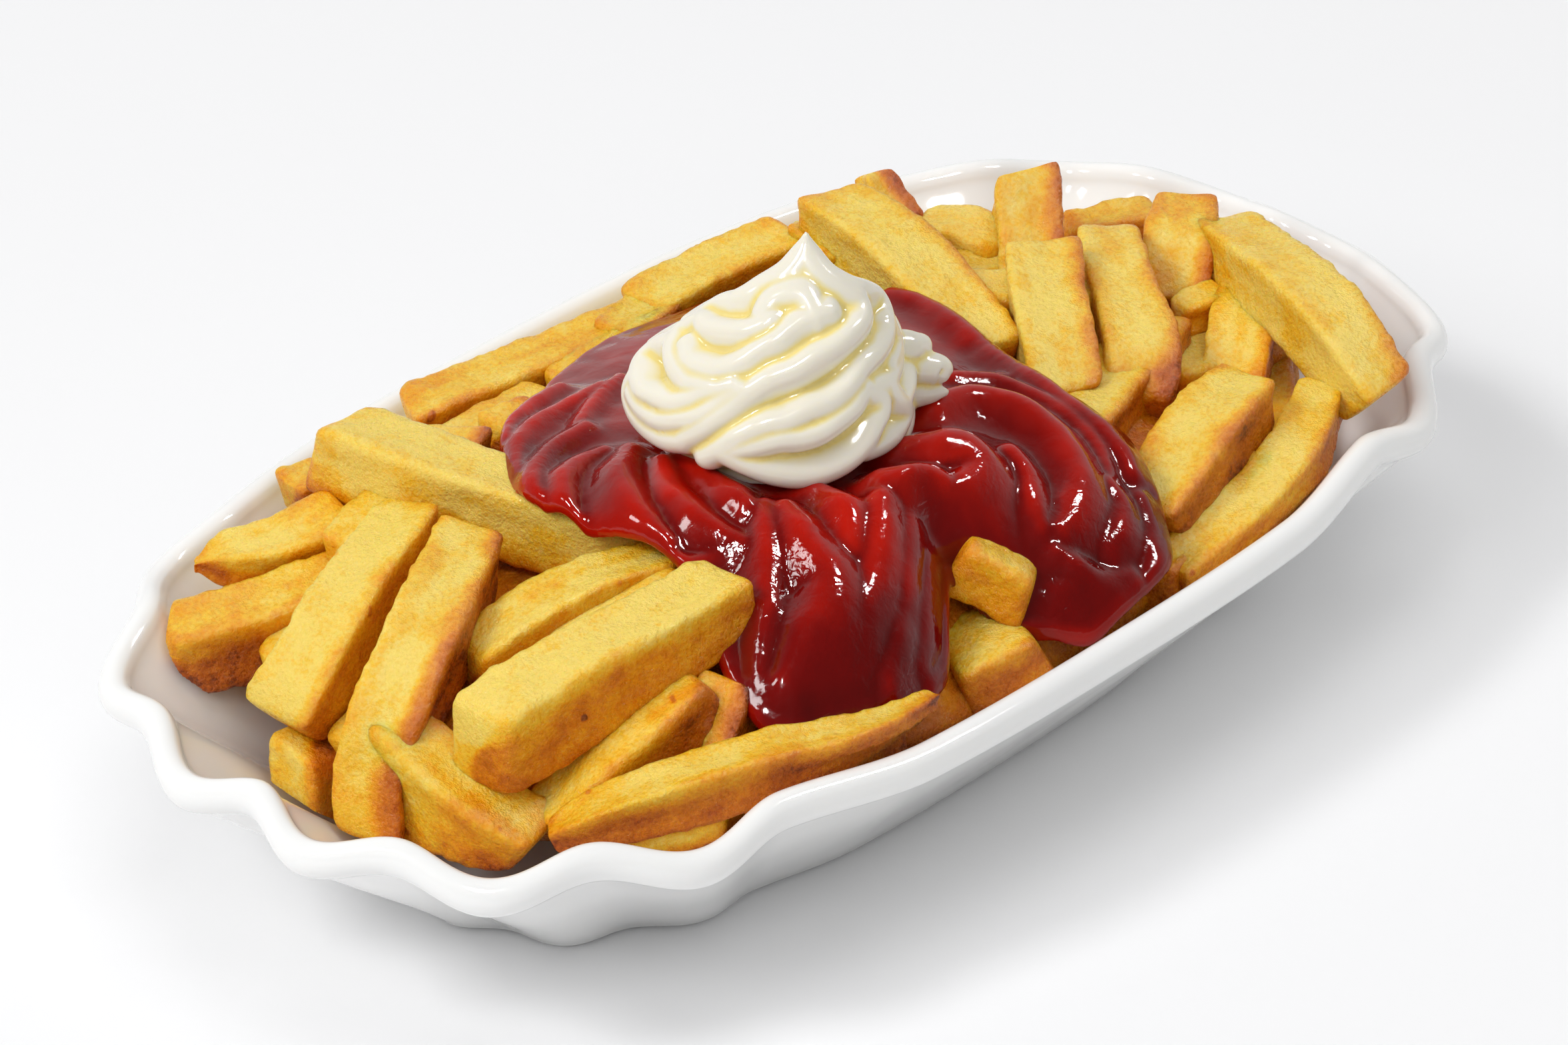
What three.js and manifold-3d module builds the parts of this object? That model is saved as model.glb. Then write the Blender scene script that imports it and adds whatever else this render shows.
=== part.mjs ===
// A portion of thick-cut fries in a scalloped porcelain tray, with ketchup and mayonnaise on top.
// Millimetres, +Z up. The origin is under the middle of the tray, +X runs along the tray.
import * as THREE from 'three';
import { mergeVertices } from 'three/addons/utils/BufferGeometryUtils.js';
import Module from 'manifold-3d';

// Tray: half sizes of the rim's middle line and of the base's edge
const RIM_HALF_LENGTH = 106;
const RIM_HALF_WIDTH = 58.7;
const BASE_HALF_LENGTH = 77;
const BASE_HALF_WIDTH = 36.3;
const RIM_HEIGHT = 32.5;
const WALL = 3.5;
const FLOOR_TOP = 4.4;
const OUTLINE_POWER = 2.77;
const RIM_BOW = 0.95;

// Scallops: three lobes from each end's middle to each corner
const LOBES_PER_HALF_END = 3;
const SCALLOP_ARC = 77.9;
const SCALLOP_STRETCH = 0.92;
const SCALLOP_DEPTH = 1.5;
const SCALLOP_WAVE = 1.2;
const TRAY_STATIONS = 116;

// Gap that neighbouring pieces keep
const GAP = 0.3;
const HEADROOM = 70;

// Heap under the sauces: an oval mound, radii as shares of its half sizes
const MOUND_HALF_LENGTH = 89;
const MOUND_HALF_WIDTH = 50;
const MOUND_PROFILE = [[0, 4.8], [0.61, 4.8], [0.76, 10], [0.9, 17], [1, 24], [0.96, 28], [0.8, 34], [0.62, 39],
  [0.44, 43], [0.27, 46], [0, 48]];
const MOUND_SIDES = 24;
const MOUND_LEAN_FROM = 23;
const MOUND_LEAN = [-0.3, -0.3];
const FRY_SIDES = 8;
const FRY_CORNER = 0.72;
const FRY_DOME = 0.8;

// Fries: both ends of the middle line, width, depth and roll in degrees
const FRIES_SHOWING = [
  [-50, 37, 45, -44, -11, 46, 10, 11, 0],
  [-55, 46, 35, -39, 46, 35, 8, 8, 0],
  [-74, 43, 34, -56, 33, 36, 8, 7, 10],
  [-84, 38, 28, -63, 27, 31, 9, 9, 0],
  [-59, 19, 42, -88, 11, 30, 10, 9, 8],
  [-55, 9, 42, -86, -6, 24, 11, 10, -6],
  [-83, -6, 34, -82, -24, 24, 11, 10, 10],
  [-84, -20, 39, -42, -26, 46, 11, 10, 0],
  [-68, -4, 36, -51, -7, 41, 9, 9, 0],
  [-74, -27, 27, -57, -31, 38, 10, 10, 0],
  [-56, -37, 29, -50, -34, 36, 9, 9, 0],
  [-79, -32, 29, -33, -52, 33, 8, 8, 0],
  [-7, -39, 39, -5, -47, 36, 10, 9, 0],
  [-15, -45, 27, -5, -47, 29, 10, 10, 0],
  [51, -37, 38, 29, -43, 34, 12, 10, 0],
  [64, -41, 32, 33, -44, 25, 8, 8, 0],
  [50, -42, 30, 43, -41, 28, 7, 7, 0],
  [84, -8, 40, 71, -44, 36, 11, 10, 0],
  [75, -19, 36, 64, -26, 30, 10, 9, 0],
  [67, 1, 42, 45, -23, 36, 11, 10, 0],
  [53, 1, 46, 35, -17, 38, 9, 9, 0],
  [69, 18, 46, 60, 10, 35, 9, 9, 0],
  [58, 29, 38, 58, 14, 37, 8, 8, 0],
  [40, 31, 47, 36, -4, 40, 10, 10, 0],
  [56, 40, 43, 56, 26, 38, 7, 7, 0],
  [38, 31, 43, 34, 20, 42, 8, 8, 0],
  [-29, 48, 33, 0, 41, 37, 9, 8, 0],
  [17, 41, 38, 38, 36, 40, 9, 8, 0],
  [-26, 36, 36, -23, 31, 38, 7, 7, 0],
  [79, 18, 34, 88, 8, 33, 7, 6, 0],
  [84, 0, 40, 72, -3, 36, 9, 8, 0],
  [-84, 11, 24, -80, 13, 14, 8, 8, 0],
];

// Lower fries that carry them, and the far side of the heap
const FRIES_UNDER = [
  [-76, 36, 27, -44, 38, 29, 10, 9, 0],
  [-80, 22, 27, -52, 20, 36, 10, 9, 0],
  [-84, 2, 26, -58, 4, 34, 10, 9, 0],
  [-80, -16, 24, -48, -20, 36, 10, 9, 0],
  [-66, -38, 23, -30, -44, 27, 9, 9, 0],
  [20, -46, 25, 54, -40, 26, 9, 9, 0],
  [58, -38, 26, 84, -14, 28, 9, 9, 0],
  [56, -20, 32, 80, -22, 29, 10, 9, 0],
  [70, 4, 33, 88, 0, 27, 10, 9, 0],
  [62, 26, 30, 82, 12, 28, 10, 9, 0],
  [44, 20, 37, 66, 12, 33, 9, 9, 0],
  [30, 47, 28, 62, 36, 32, 9, 9, 0],
  [-8, 50, 28, 28, 46, 30, 9, 9, 0],
  [-46, 46, 28, -12, 49, 27, 9, 9, 0],
  [2, 38, 38, 30, 45, 36, 9, 9, 0],
  [-64, 24, 38, -38, 30, 42, 10, 9, 0],
  [36, 10, 42, 60, -6, 38, 10, 9, 0],
  [32, -24, 36, 62, -14, 36, 10, 9, 0],
  [-60, -8, 37, -44, -14, 42, 10, 9, 0],
];

// Ketchup: edge points round the pour, as angle, distance and height of the top
const POUR_CENTRE = [-14, -12];
const POUR_TOP = 51.2;
const POUR_FLAT = 20;
const POUR_THICKNESS = 3.4;
const POUR_EDGE = [
  [0, 44, 43], [16, 49, 44], [31, 57, 43], [45, 57, 42], [60, 52, 43], [75, 50, 43], [90, 48, 43],
  [108, 45, 45], [127, 40, 47], [141, 39, 49], [160, 38, 50], [178, 33, 50], [196, 30, 49], [208, 38, 41],
  [219, 47, 35], [232, 44, 34], [245, 40, 33], [256, 32, 36], [268, 27, 40], [279, 31, 35], [289, 38, 33],
  [299, 47, 31], [308, 50, 33], [320, 50, 37], [341, 48, 41],
];
const POUR_SPOKES = 60;
const POUR_RINGS = 9;
const POUR_ROUNDING = 1.3;
const POUR_CLEARANCE = 0.45;

// Mayonnaise: a piped coil with a peak and the short star-shaped start of the piping beside it
const SWIRL_CENTRE = [-14, -6.5];
const SWIRL_BASE = 51.5;
const SWIRL_HEIGHT = 31.3;
const SWIRL_RADIUS = 19.5;
const SWIRL_TURNS = 2.3;
const SWIRL_ROPE = 4.2;
const SWIRL_RIDGE = 0.8;
const SWIRL_RIDGES_A_TURN = 3;
const SWIRL_SPOKES = 40;
const SWIRL_LEVELS = 26;
const TAIL_CENTRE = [3.5, -17.5, 60];
const TAIL_REACH = [7, 6, 5.5];
const TAIL_RIDGES = 7;

const wasm = await Module();
wasm.setup();

// Joining and cutting closed meshes
function solidOf(geometry) {
  const bare = geometry.index ? geometry.clone() : mergeVertices(geometry.clone());
  bare.deleteAttribute('normal');
  bare.deleteAttribute('uv');
  const merged = mergeVertices(bare, 1e-4);
  return new wasm.Manifold(new wasm.Mesh({
    numProp: 3,
    vertProperties: new Float32Array(merged.attributes.position.array),
    triVerts: new Uint32Array(merged.index.array),
  }));
}

function geometryOf(solid) {
  const mesh = solid.getMesh();
  const geometry = new THREE.BufferGeometry();
  geometry.setAttribute('position', new THREE.BufferAttribute(new Float32Array(mesh.vertProperties), 3));
  geometry.setIndex(new THREE.BufferAttribute(new Uint32Array(mesh.triVerts), 1));
  geometry.computeVertexNormals();
  return geometry;
}

// A closed body from rings of equal count, with a middle point below the first and above the last
function bodyFromRings(rings, first, last) {
  const count = rings[0].length;
  const points = [first, ...rings.flat(), last];
  const triangles = [];
  for (let i = 0; i < count; i += 1) {
    const j = (i + 1) % count;
    triangles.push(0, 1 + j, 1 + i);
    for (let k = 0; k + 1 < rings.length; k += 1) {
      const low = 1 + k * count;
      const high = low + count;
      triangles.push(low + i, low + j, high + j, low + i, high + j, high + i);
    }
    const top = 1 + (rings.length - 1) * count;
    triangles.push(top + i, top + j, points.length - 1);
  }
  const geometry = new THREE.BufferGeometry();
  geometry.setAttribute('position', new THREE.Float32BufferAttribute(points.flat(), 3));
  geometry.setIndex(triangles);
  geometry.computeVertexNormals();
  return geometry;
}

// Stations evenly spaced along the rim: unit outline, scallop wave and outward direction
function trayStations(count) {
  const steps = 2880;
  const walk = [];
  let length = 0;
  for (let k = 0; k <= steps; k += 1) {
    const angle = (2 * Math.PI * k) / steps;
    const x = Math.sign(Math.cos(angle)) * Math.abs(Math.cos(angle)) ** (2 / OUTLINE_POWER);
    const y = Math.sign(Math.sin(angle)) * Math.abs(Math.sin(angle)) ** (2 / OUTLINE_POWER);
    const before = walk[k - 1] ?? { x, y };
    length += Math.hypot((x - before.x) * RIM_HALF_LENGTH, (y - before.y) * RIM_HALF_WIDTH);
    walk.push({ x, y, length });
  }
  const stations = [];
  let at = 0;
  for (let k = 0; k < count; k += 1) {
    const wanted = (length * k) / count;
    while (walk[at + 1].length < wanted) at += 1;
    const share = (wanted - walk[at].length) / (walk[at + 1].length - walk[at].length || 1);
    const x = THREE.MathUtils.lerp(walk[at].x, walk[at + 1].x, share);
    const y = THREE.MathUtils.lerp(walk[at].y, walk[at + 1].y, share);
    const fromEnd = Math.abs(((wanted + length / 4) % (length / 2)) - length / 4);
    stations.push({ x, y, scallop: scallopAt(fromEnd) });
  }
  return stations;
}

// The scallop wave at a distance along the rim from an end's middle, from -1 in a notch to 1 on a lobe
function scallopAt(fromEnd) {
  if (fromEnd > SCALLOP_ARC) {
    return -1 + THREE.MathUtils.smoothstep(fromEnd, SCALLOP_ARC, 1.3 * SCALLOP_ARC);
  }
  return -Math.cos(2 * Math.PI * LOBES_PER_HALF_END * (fromEnd / SCALLOP_ARC) ** SCALLOP_STRETCH);
}

const STATIONS = trayStations(TRAY_STATIONS);

// One loop round the tray: share of the way from base to rim, outward offset, height, scallop share, wave
function trayLoop(share, out, z, scallop, wave) {
  const a = THREE.MathUtils.lerp(BASE_HALF_LENGTH, RIM_HALF_LENGTH, share);
  const b = THREE.MathUtils.lerp(BASE_HALF_WIDTH, RIM_HALF_WIDTH, share);
  return STATIONS.map((station, k) => {
    const before = STATIONS[(k + STATIONS.length - 1) % STATIONS.length];
    const after = STATIONS[(k + 1) % STATIONS.length];
    const along = new THREE.Vector2((after.x - before.x) * a, (after.y - before.y) * b).normalize();
    const offset = out + scallop * SCALLOP_DEPTH * station.scallop;
    const lift = RIM_BOW * (1 - station.x ** 2) * (z / RIM_HEIGHT) - wave * SCALLOP_WAVE * station.scallop;
    return [station.x * a + along.y * offset, station.y * b - along.x * offset, z + lift];
  });
}

function tray() {
  const loops = [
    trayLoop(0, -1.4, 0, 0.8, 0),
    trayLoop(0, 0, 1.1, 0.85, 0),
    trayLoop(0.22, 0.3, 7.2, 0.9, 0),
    trayLoop(0.6, 0.4, 17, 0.95, 0.3),
    trayLoop(0.93, 0.4, 25.6, 1, 0.8),
    trayLoop(1, 1.6, RIM_HEIGHT - 5, 1, 1),
    trayLoop(1, 2.4, RIM_HEIGHT - 2.6, 1, 1),
    trayLoop(1, 1.5, RIM_HEIGHT - 0.5, 1, 1),
    trayLoop(1, 0, RIM_HEIGHT, 1, 1),
    trayLoop(1, -1.7, RIM_HEIGHT - 1, 1, 1),
    trayLoop(0.93, 0.4 - WALL, 27, 1, 0.8),
    trayLoop(0.6, 0.4 - WALL, 18.6, 0.95, 0.3),
    trayLoop(0.22, 0.3 - WALL, 9, 0.9, 0),
    trayLoop(0, -4.6, FLOOR_TOP, 0.8, 0),
  ];
  return bodyFromRings(loops, [0, 0, 0], [0, 0, FLOOR_TOP]);
}

// Room for the food: the tray's inside less the gap, open upward and as wide as the rim above it
function roomForFood() {
  const clear = GAP + 0.1;
  const loops = [
    trayLoop(0, -5 - clear, FLOOR_TOP + clear, 0.8, 0),
    trayLoop(0.22, 0.3 - WALL - clear, 9 + clear, 0.9, 0),
    trayLoop(0.6, 0.4 - WALL - clear, 18.6 + clear, 0.95, 0.3),
    trayLoop(0.93, 0.4 - WALL - clear, 27 + clear, 1, 0.8),
    trayLoop(1, -1.9 - clear, RIM_HEIGHT - 1 + clear, 1, 1),
    trayLoop(1, -0.2, RIM_HEIGHT + clear + 0.2, 1, 1),
    trayLoop(1, 2, RIM_HEIGHT + 2, 1, 1),
    trayLoop(1, 2, HEADROOM, 1, 0),
  ];
  return bodyFromRings(loops, [0, 0, FLOOR_TOP + clear], [0, 0, HEADROOM]);
}

// One fry: a stick with blunted edges and slightly domed ends
function fry([x1, y1, z1, x2, y2, z2, width, depth, roll]) {
  const start = new THREE.Vector3(x1, y1, z1);
  const end = new THREE.Vector3(x2, y2, z2);
  const along = end.clone().sub(start).normalize();
  const side = new THREE.Vector3(0, 0, 1).cross(along).normalize();
  side.applyAxisAngle(along, THREE.MathUtils.degToRad(roll));
  const top = along.clone().cross(side);
  const length = start.distanceTo(end);
  const rings = [0, length].map((at) => {
    const ring = [];
    for (let k = 0; k < FRY_SIDES; k += 1) {
      const corner = Math.floor(k / 2) * 90 + 45;
      const lean = (k % 2 === 0 ? -1 : 1) * (45 - 45 * FRY_CORNER);
      const angle = THREE.MathUtils.degToRad(corner + lean);
      const reach = 1 / (2 * Math.max(Math.abs(Math.cos(angle)), Math.abs(Math.sin(angle))));
      const point = start.clone().addScaledVector(along, at);
      point.addScaledVector(side, Math.cos(angle) * reach * width);
      point.addScaledVector(top, Math.sin(angle) * reach * depth);
      ring.push(point.toArray());
    }
    return ring;
  });
  start.addScaledVector(along, -FRY_DOME);
  end.addScaledVector(along, FRY_DOME);
  return bodyFromRings(rings, start.toArray(), end.toArray());
}

// The edge of the pour at an angle: distance and height, eased between the edge points
function pourEdge(degrees) {
  const count = POUR_EDGE.length;
  let k = POUR_EDGE.findIndex(([angle]) => angle > degrees) - 1;
  if (k < 0) k = count - 1;
  const from = POUR_EDGE[k];
  const to = POUR_EDGE[(k + 1) % count];
  const span = to[0] - from[0] + (to[0] < from[0] ? 360 : 0);
  const share = THREE.MathUtils.smoothstep((degrees - from[0]) / span, 0, 1);
  return { reach: THREE.MathUtils.lerp(from[1], to[1], share), z: THREE.MathUtils.lerp(from[2], to[2], share) };
}

// Height of the pour's top over a spoke: flat under the swirl, then down to the edge with soft folds
function pourTop(degrees, reach, edge) {
  const beyond = Math.max(0, (reach - POUR_FLAT) / Math.max(edge.reach - POUR_FLAT, 1));
  const angle = THREE.MathUtils.degToRad(degrees);
  const folds = Math.sin(beyond * Math.PI) * 1.1 * Math.cos(9 * angle + 4 * beyond);
  return POUR_TOP - (POUR_TOP - edge.z) * Math.min(beyond, 1) ** 1.3 + folds * (beyond > 0 ? 1 : 0);
}

// Rings of the pour's top and underside, from the centre out, each at its share of the way to the edge
function pourRings() {
  const top = [];
  const under = [];
  for (let ring = 1; ring <= POUR_RINGS; ring += 1) {
    const share = ring / POUR_RINGS;
    const rounding = ring === POUR_RINGS ? POUR_ROUNDING : 0;
    const upper = [];
    const lower = [];
    for (let k = 0; k < POUR_SPOKES; k += 1) {
      const degrees = (360 * k) / POUR_SPOKES;
      const edge = pourEdge(degrees);
      const z = pourTop(degrees, edge.reach * share, edge);
      upper.push(pourPoint(degrees, edge.reach * share - rounding, z - rounding));
      lower.push(pourPoint(degrees, edge.reach * share, z - POUR_THICKNESS));
    }
    top.unshift(upper);
    under.push(lower);
  }
  return { top, under };
}

function pourPoint(degrees, reach, z) {
  const angle = THREE.MathUtils.degToRad(degrees);
  return [POUR_CENTRE[0] + reach * Math.cos(angle), POUR_CENTRE[1] + reach * Math.sin(angle), z];
}

// The pour as a closed blanket
function pour() {
  const { top, under } = pourRings();
  return bodyFromRings([...under, ...top], [...POUR_CENTRE, POUR_TOP - POUR_THICKNESS], [...POUR_CENTRE, POUR_TOP]);
}

// The room that the pour needs, from just below its underside upward, and a little wider than it
function roomForPour() {
  const lowered = pourRings().under.map((ring) => ring.map(([x, y, z]) => [x, y, z - POUR_CLEARANCE]));
  const skirt = [];
  for (let k = 0; k < POUR_SPOKES; k += 1) {
    const degrees = (360 * k) / POUR_SPOKES;
    const edge = pourEdge(degrees);
    skirt.push(pourPoint(degrees, edge.reach + POUR_CLEARANCE, edge.z - POUR_THICKNESS - POUR_CLEARANCE));
  }
  const lid = skirt.map(([x, y]) => [x, y, HEADROOM]);
  return bodyFromRings([...lowered, skirt, lid], [...POUR_CENTRE, POUR_TOP - POUR_THICKNESS - POUR_CLEARANCE],
    [...POUR_CENTRE, HEADROOM]);
}

function fries() {
  const profile = MOUND_PROFILE.map(([reach, z]) => new THREE.Vector2(reach, z));
  const mound = new THREE.LatheGeometry(profile, MOUND_SIDES);
  mound.rotateX(Math.PI / 2);
  mound.scale(MOUND_HALF_LENGTH, MOUND_HALF_WIDTH, 1);
  const spot = mound.attributes.position;
  for (let k = 0; k < spot.count; k += 1) {
    const above = Math.max(0, spot.getZ(k) - MOUND_LEAN_FROM);
    spot.setX(k, spot.getX(k) + MOUND_LEAN[0] * above);
    spot.setY(k, spot.getY(k) + MOUND_LEAN[1] * above);
  }
  let heap = solidOf(mound);
  for (const placement of [...FRIES_UNDER, ...FRIES_SHOWING]) {
    heap = heap.add(solidOf(fry(placement)));
  }
  heap = heap.intersect(solidOf(roomForFood()));
  heap = heap.subtract(solidOf(roomForPour()));
  const pieces = heap.decompose().sort((one, other) => other.volume() - one.volume());
  return geometryOf(pieces[0]);
}

// The swirl's radius at a share of its height and an angle
function swirlRadius(share, angle) {
  const envelope = SWIRL_RADIUS * (1 - share ** 1.9) ** 1.05;
  const turn = share * SWIRL_TURNS + angle / (2 * Math.PI);
  const inRope = turn - Math.floor(turn);
  const rope = SWIRL_ROPE * (4 * inRope * (1 - inRope) - 0.5);
  const ridge = SWIRL_RIDGE * Math.cos(2 * Math.PI * SWIRL_RIDGES_A_TURN * turn);
  const fade = 1 - share ** 2;
  return Math.max(0.25, envelope + (rope + ridge) * fade);
}

function mayonnaise() {
  const rings = [];
  for (let level = 0; level <= SWIRL_LEVELS; level += 1) {
    const share = level / SWIRL_LEVELS;
    const ring = [];
    for (let k = 0; k < SWIRL_SPOKES; k += 1) {
      const angle = (2 * Math.PI * k) / SWIRL_SPOKES;
      const tuck = level === 0 ? 2.5 : 0;
      const radius = swirlRadius(share * 0.985, angle) - tuck;
      ring.push([SWIRL_CENTRE[0] + radius * Math.cos(angle), SWIRL_CENTRE[1] + radius * Math.sin(angle),
        SWIRL_BASE + share * SWIRL_HEIGHT]);
    }
    rings.push(ring);
  }
  const top = [SWIRL_CENTRE[0], SWIRL_CENTRE[1], SWIRL_BASE + SWIRL_HEIGHT + 0.4];
  const coil = bodyFromRings(rings, [...SWIRL_CENTRE, SWIRL_BASE], top);
  const tail = new THREE.SphereGeometry(1, 4 * TAIL_RIDGES, 8);
  const spot = tail.attributes.position;
  for (let k = 0; k < spot.count; k += 1) {
    const around = Math.atan2(spot.getZ(k), spot.getX(k));
    const ridge = 1 + 0.16 * Math.cos(TAIL_RIDGES * around);
    spot.setXYZ(k, spot.getX(k) * ridge, spot.getY(k), spot.getZ(k) * ridge);
  }
  tail.rotateZ(Math.PI / 4);
  tail.scale(...TAIL_REACH);
  tail.translate(...TAIL_CENTRE);
  return geometryOf(solidOf(coil).add(solidOf(tail)));
}

// Each sub-part with its own material
function piece(name, geometry, color, roughness) {
  const material = new THREE.MeshStandardMaterial({ color, roughness, metalness: 0 });
  const mesh = new THREE.Mesh(geometry, material);
  mesh.name = name;
  return mesh;
}

const portion = new THREE.Group();
portion.add(
  piece('tray', tray(), 0xebeceb, 0.12),
  piece('fries', fries(), 0xe2b44c, 0.65),
  piece('ketchup', pour(), 0x9a1410, 0.2),
  piece('mayonnaise', mayonnaise(), 0xf8f2da, 0.3),
);

export default portion;
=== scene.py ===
"""A portion of thick-cut fries in a scalloped porcelain tray, with ketchup and piped mayonnaise on top."""
import math

import bpy
import numpy as np
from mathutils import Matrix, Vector


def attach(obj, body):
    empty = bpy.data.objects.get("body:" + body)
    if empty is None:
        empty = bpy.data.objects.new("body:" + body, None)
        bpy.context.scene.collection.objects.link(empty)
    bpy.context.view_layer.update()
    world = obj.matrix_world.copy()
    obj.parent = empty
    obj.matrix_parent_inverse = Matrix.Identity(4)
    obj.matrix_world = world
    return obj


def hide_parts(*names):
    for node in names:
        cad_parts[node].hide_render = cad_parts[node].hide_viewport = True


MM = 0.001
TAU = 2 * math.pi

# Large numbers that scatter the values of the noise
SCATTER_X, SCATTER_Y, SCATTER_Z = 374761393, 668265263, 1103515245
SCATTER_SEED = 974634777
SCATTER_MIX = 1274126177

# Tray: half sizes of the rim's middle line and of the base's edge, in millimetres
RIM_HALF_LENGTH = 106
RIM_HALF_WIDTH = 58.7
BASE_HALF_LENGTH = 77
BASE_HALF_WIDTH = 36.3
RIM_HEIGHT = 32.5
WALL = 3.5
FLOOR_TOP = 4.4
OUTLINE_POWER = 2.77
RIM_BOW = 0.95

# Scallops: lobes on half an end, how far they reach along the rim, and their depth and wave there
LOBES_PER_HALF_END = 3
SCALLOP_ARC = 77.9
SCALLOP_STRETCH = 0.92
SCALLOP_DEPTH = 1.5
SCALLOP_WAVE = 1.2
SCALLOP_FADE = 1.3

# Steps that the rim is measured in, and the tray's columns and steps between two rows of its section
OUTLINE_STEPS = 11520
TRAY_STATIONS = 900
TRAY_FINENESS = 4

# Tray section in rows of share from base to rim, outward offset, height, scallop and wave
TRAY_OUTSIDE = (
    (0, -2.6, 0, 0.8, 0), (0, -1.3, 0.05, 0.82, 0), (0, -0.35, 0.5, 0.84, 0), (0.02, 0, 1.5, 0.86, 0),
    (0.22, 0.3, 7.2, 0.9, 0), (0.6, 0.4, 17, 0.95, 0.3), (0.86, 0.4, 24, 1, 0.7), (0.95, 0.5, 26.4, 1, 0.9),
    (1, 1.3, 27.6, 1, 1),
)
TRAY_LIP = (
    (1, 2.15, 28.6, 1, 1), (1, 2.45, 29.9, 1, 1), (1, 2.1, 31.3, 1, 1), (1, 1.2, 32.2, 1, 1),
    (1, 0, RIM_HEIGHT, 1, 1), (1, -1.1, 32.1, 1, 1), (1, -1.8, 31.2, 1, 1), (1, -2.5, 29.8, 1, 1),
)
TRAY_INSIDE = (
    (0.93, 0.3 - WALL, 27, 1, 0.8), (0.6, 0.4 - WALL, 18.6, 0.95, 0.3), (0.3, 0.3 - WALL, 11, 0.92, 0),
    (0.14, 0.1 - WALL, 7, 0.88, 0), (0.03, -4.4, 5, 0.82, 0), (0, -7, FLOOR_TOP, 0.6, 0),
    (0, -12, FLOOR_TOP, 0.3, 0),
)
# Share from base to rim that the inner wall has at each height
WALL_HEIGHTS = (FLOOR_TOP, 9, 18.6, 27, 31)
WALL_SHARES = (0, 0.22, 0.6, 0.93, 1)
# The room that food keeps from the side walls, and how far over the rim it still keeps it
SIDE_ROOM = 0.5
OVER_RIM = 2

# Heap: the mound under the loose fries
MOUND_HALF_LENGTH = 88
MOUND_HALF_WIDTH = 49
MOUND_TOP = 41
MOUND_LEAN_FROM = 23
MOUND_LEAN = (-0.3, -0.3)
MOUND_BUMP = 1.2
MOUND_BUMP_SIZE = 6
MOUND_BUMPS_FROM = (10, 20)
# Painted shade: the mound is given a browner tone than the fries, so that the gaps between them look dark
MOUND_PAINTED_SHADE = 0.7
MOUND_SIDES = 160
MOUND_FINENESS = 6
# Its section as share of the half sizes and height
MOUND_PROFILE = (
    (0.5, 4.8), (0.61, 4.9), (0.76, 10), (0.9, 17), (0.98, 23), (0.93, 27), (0.76, 32), (0.56, 36),
    (0.3, 40), (0.05, MOUND_TOP),
)

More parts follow.
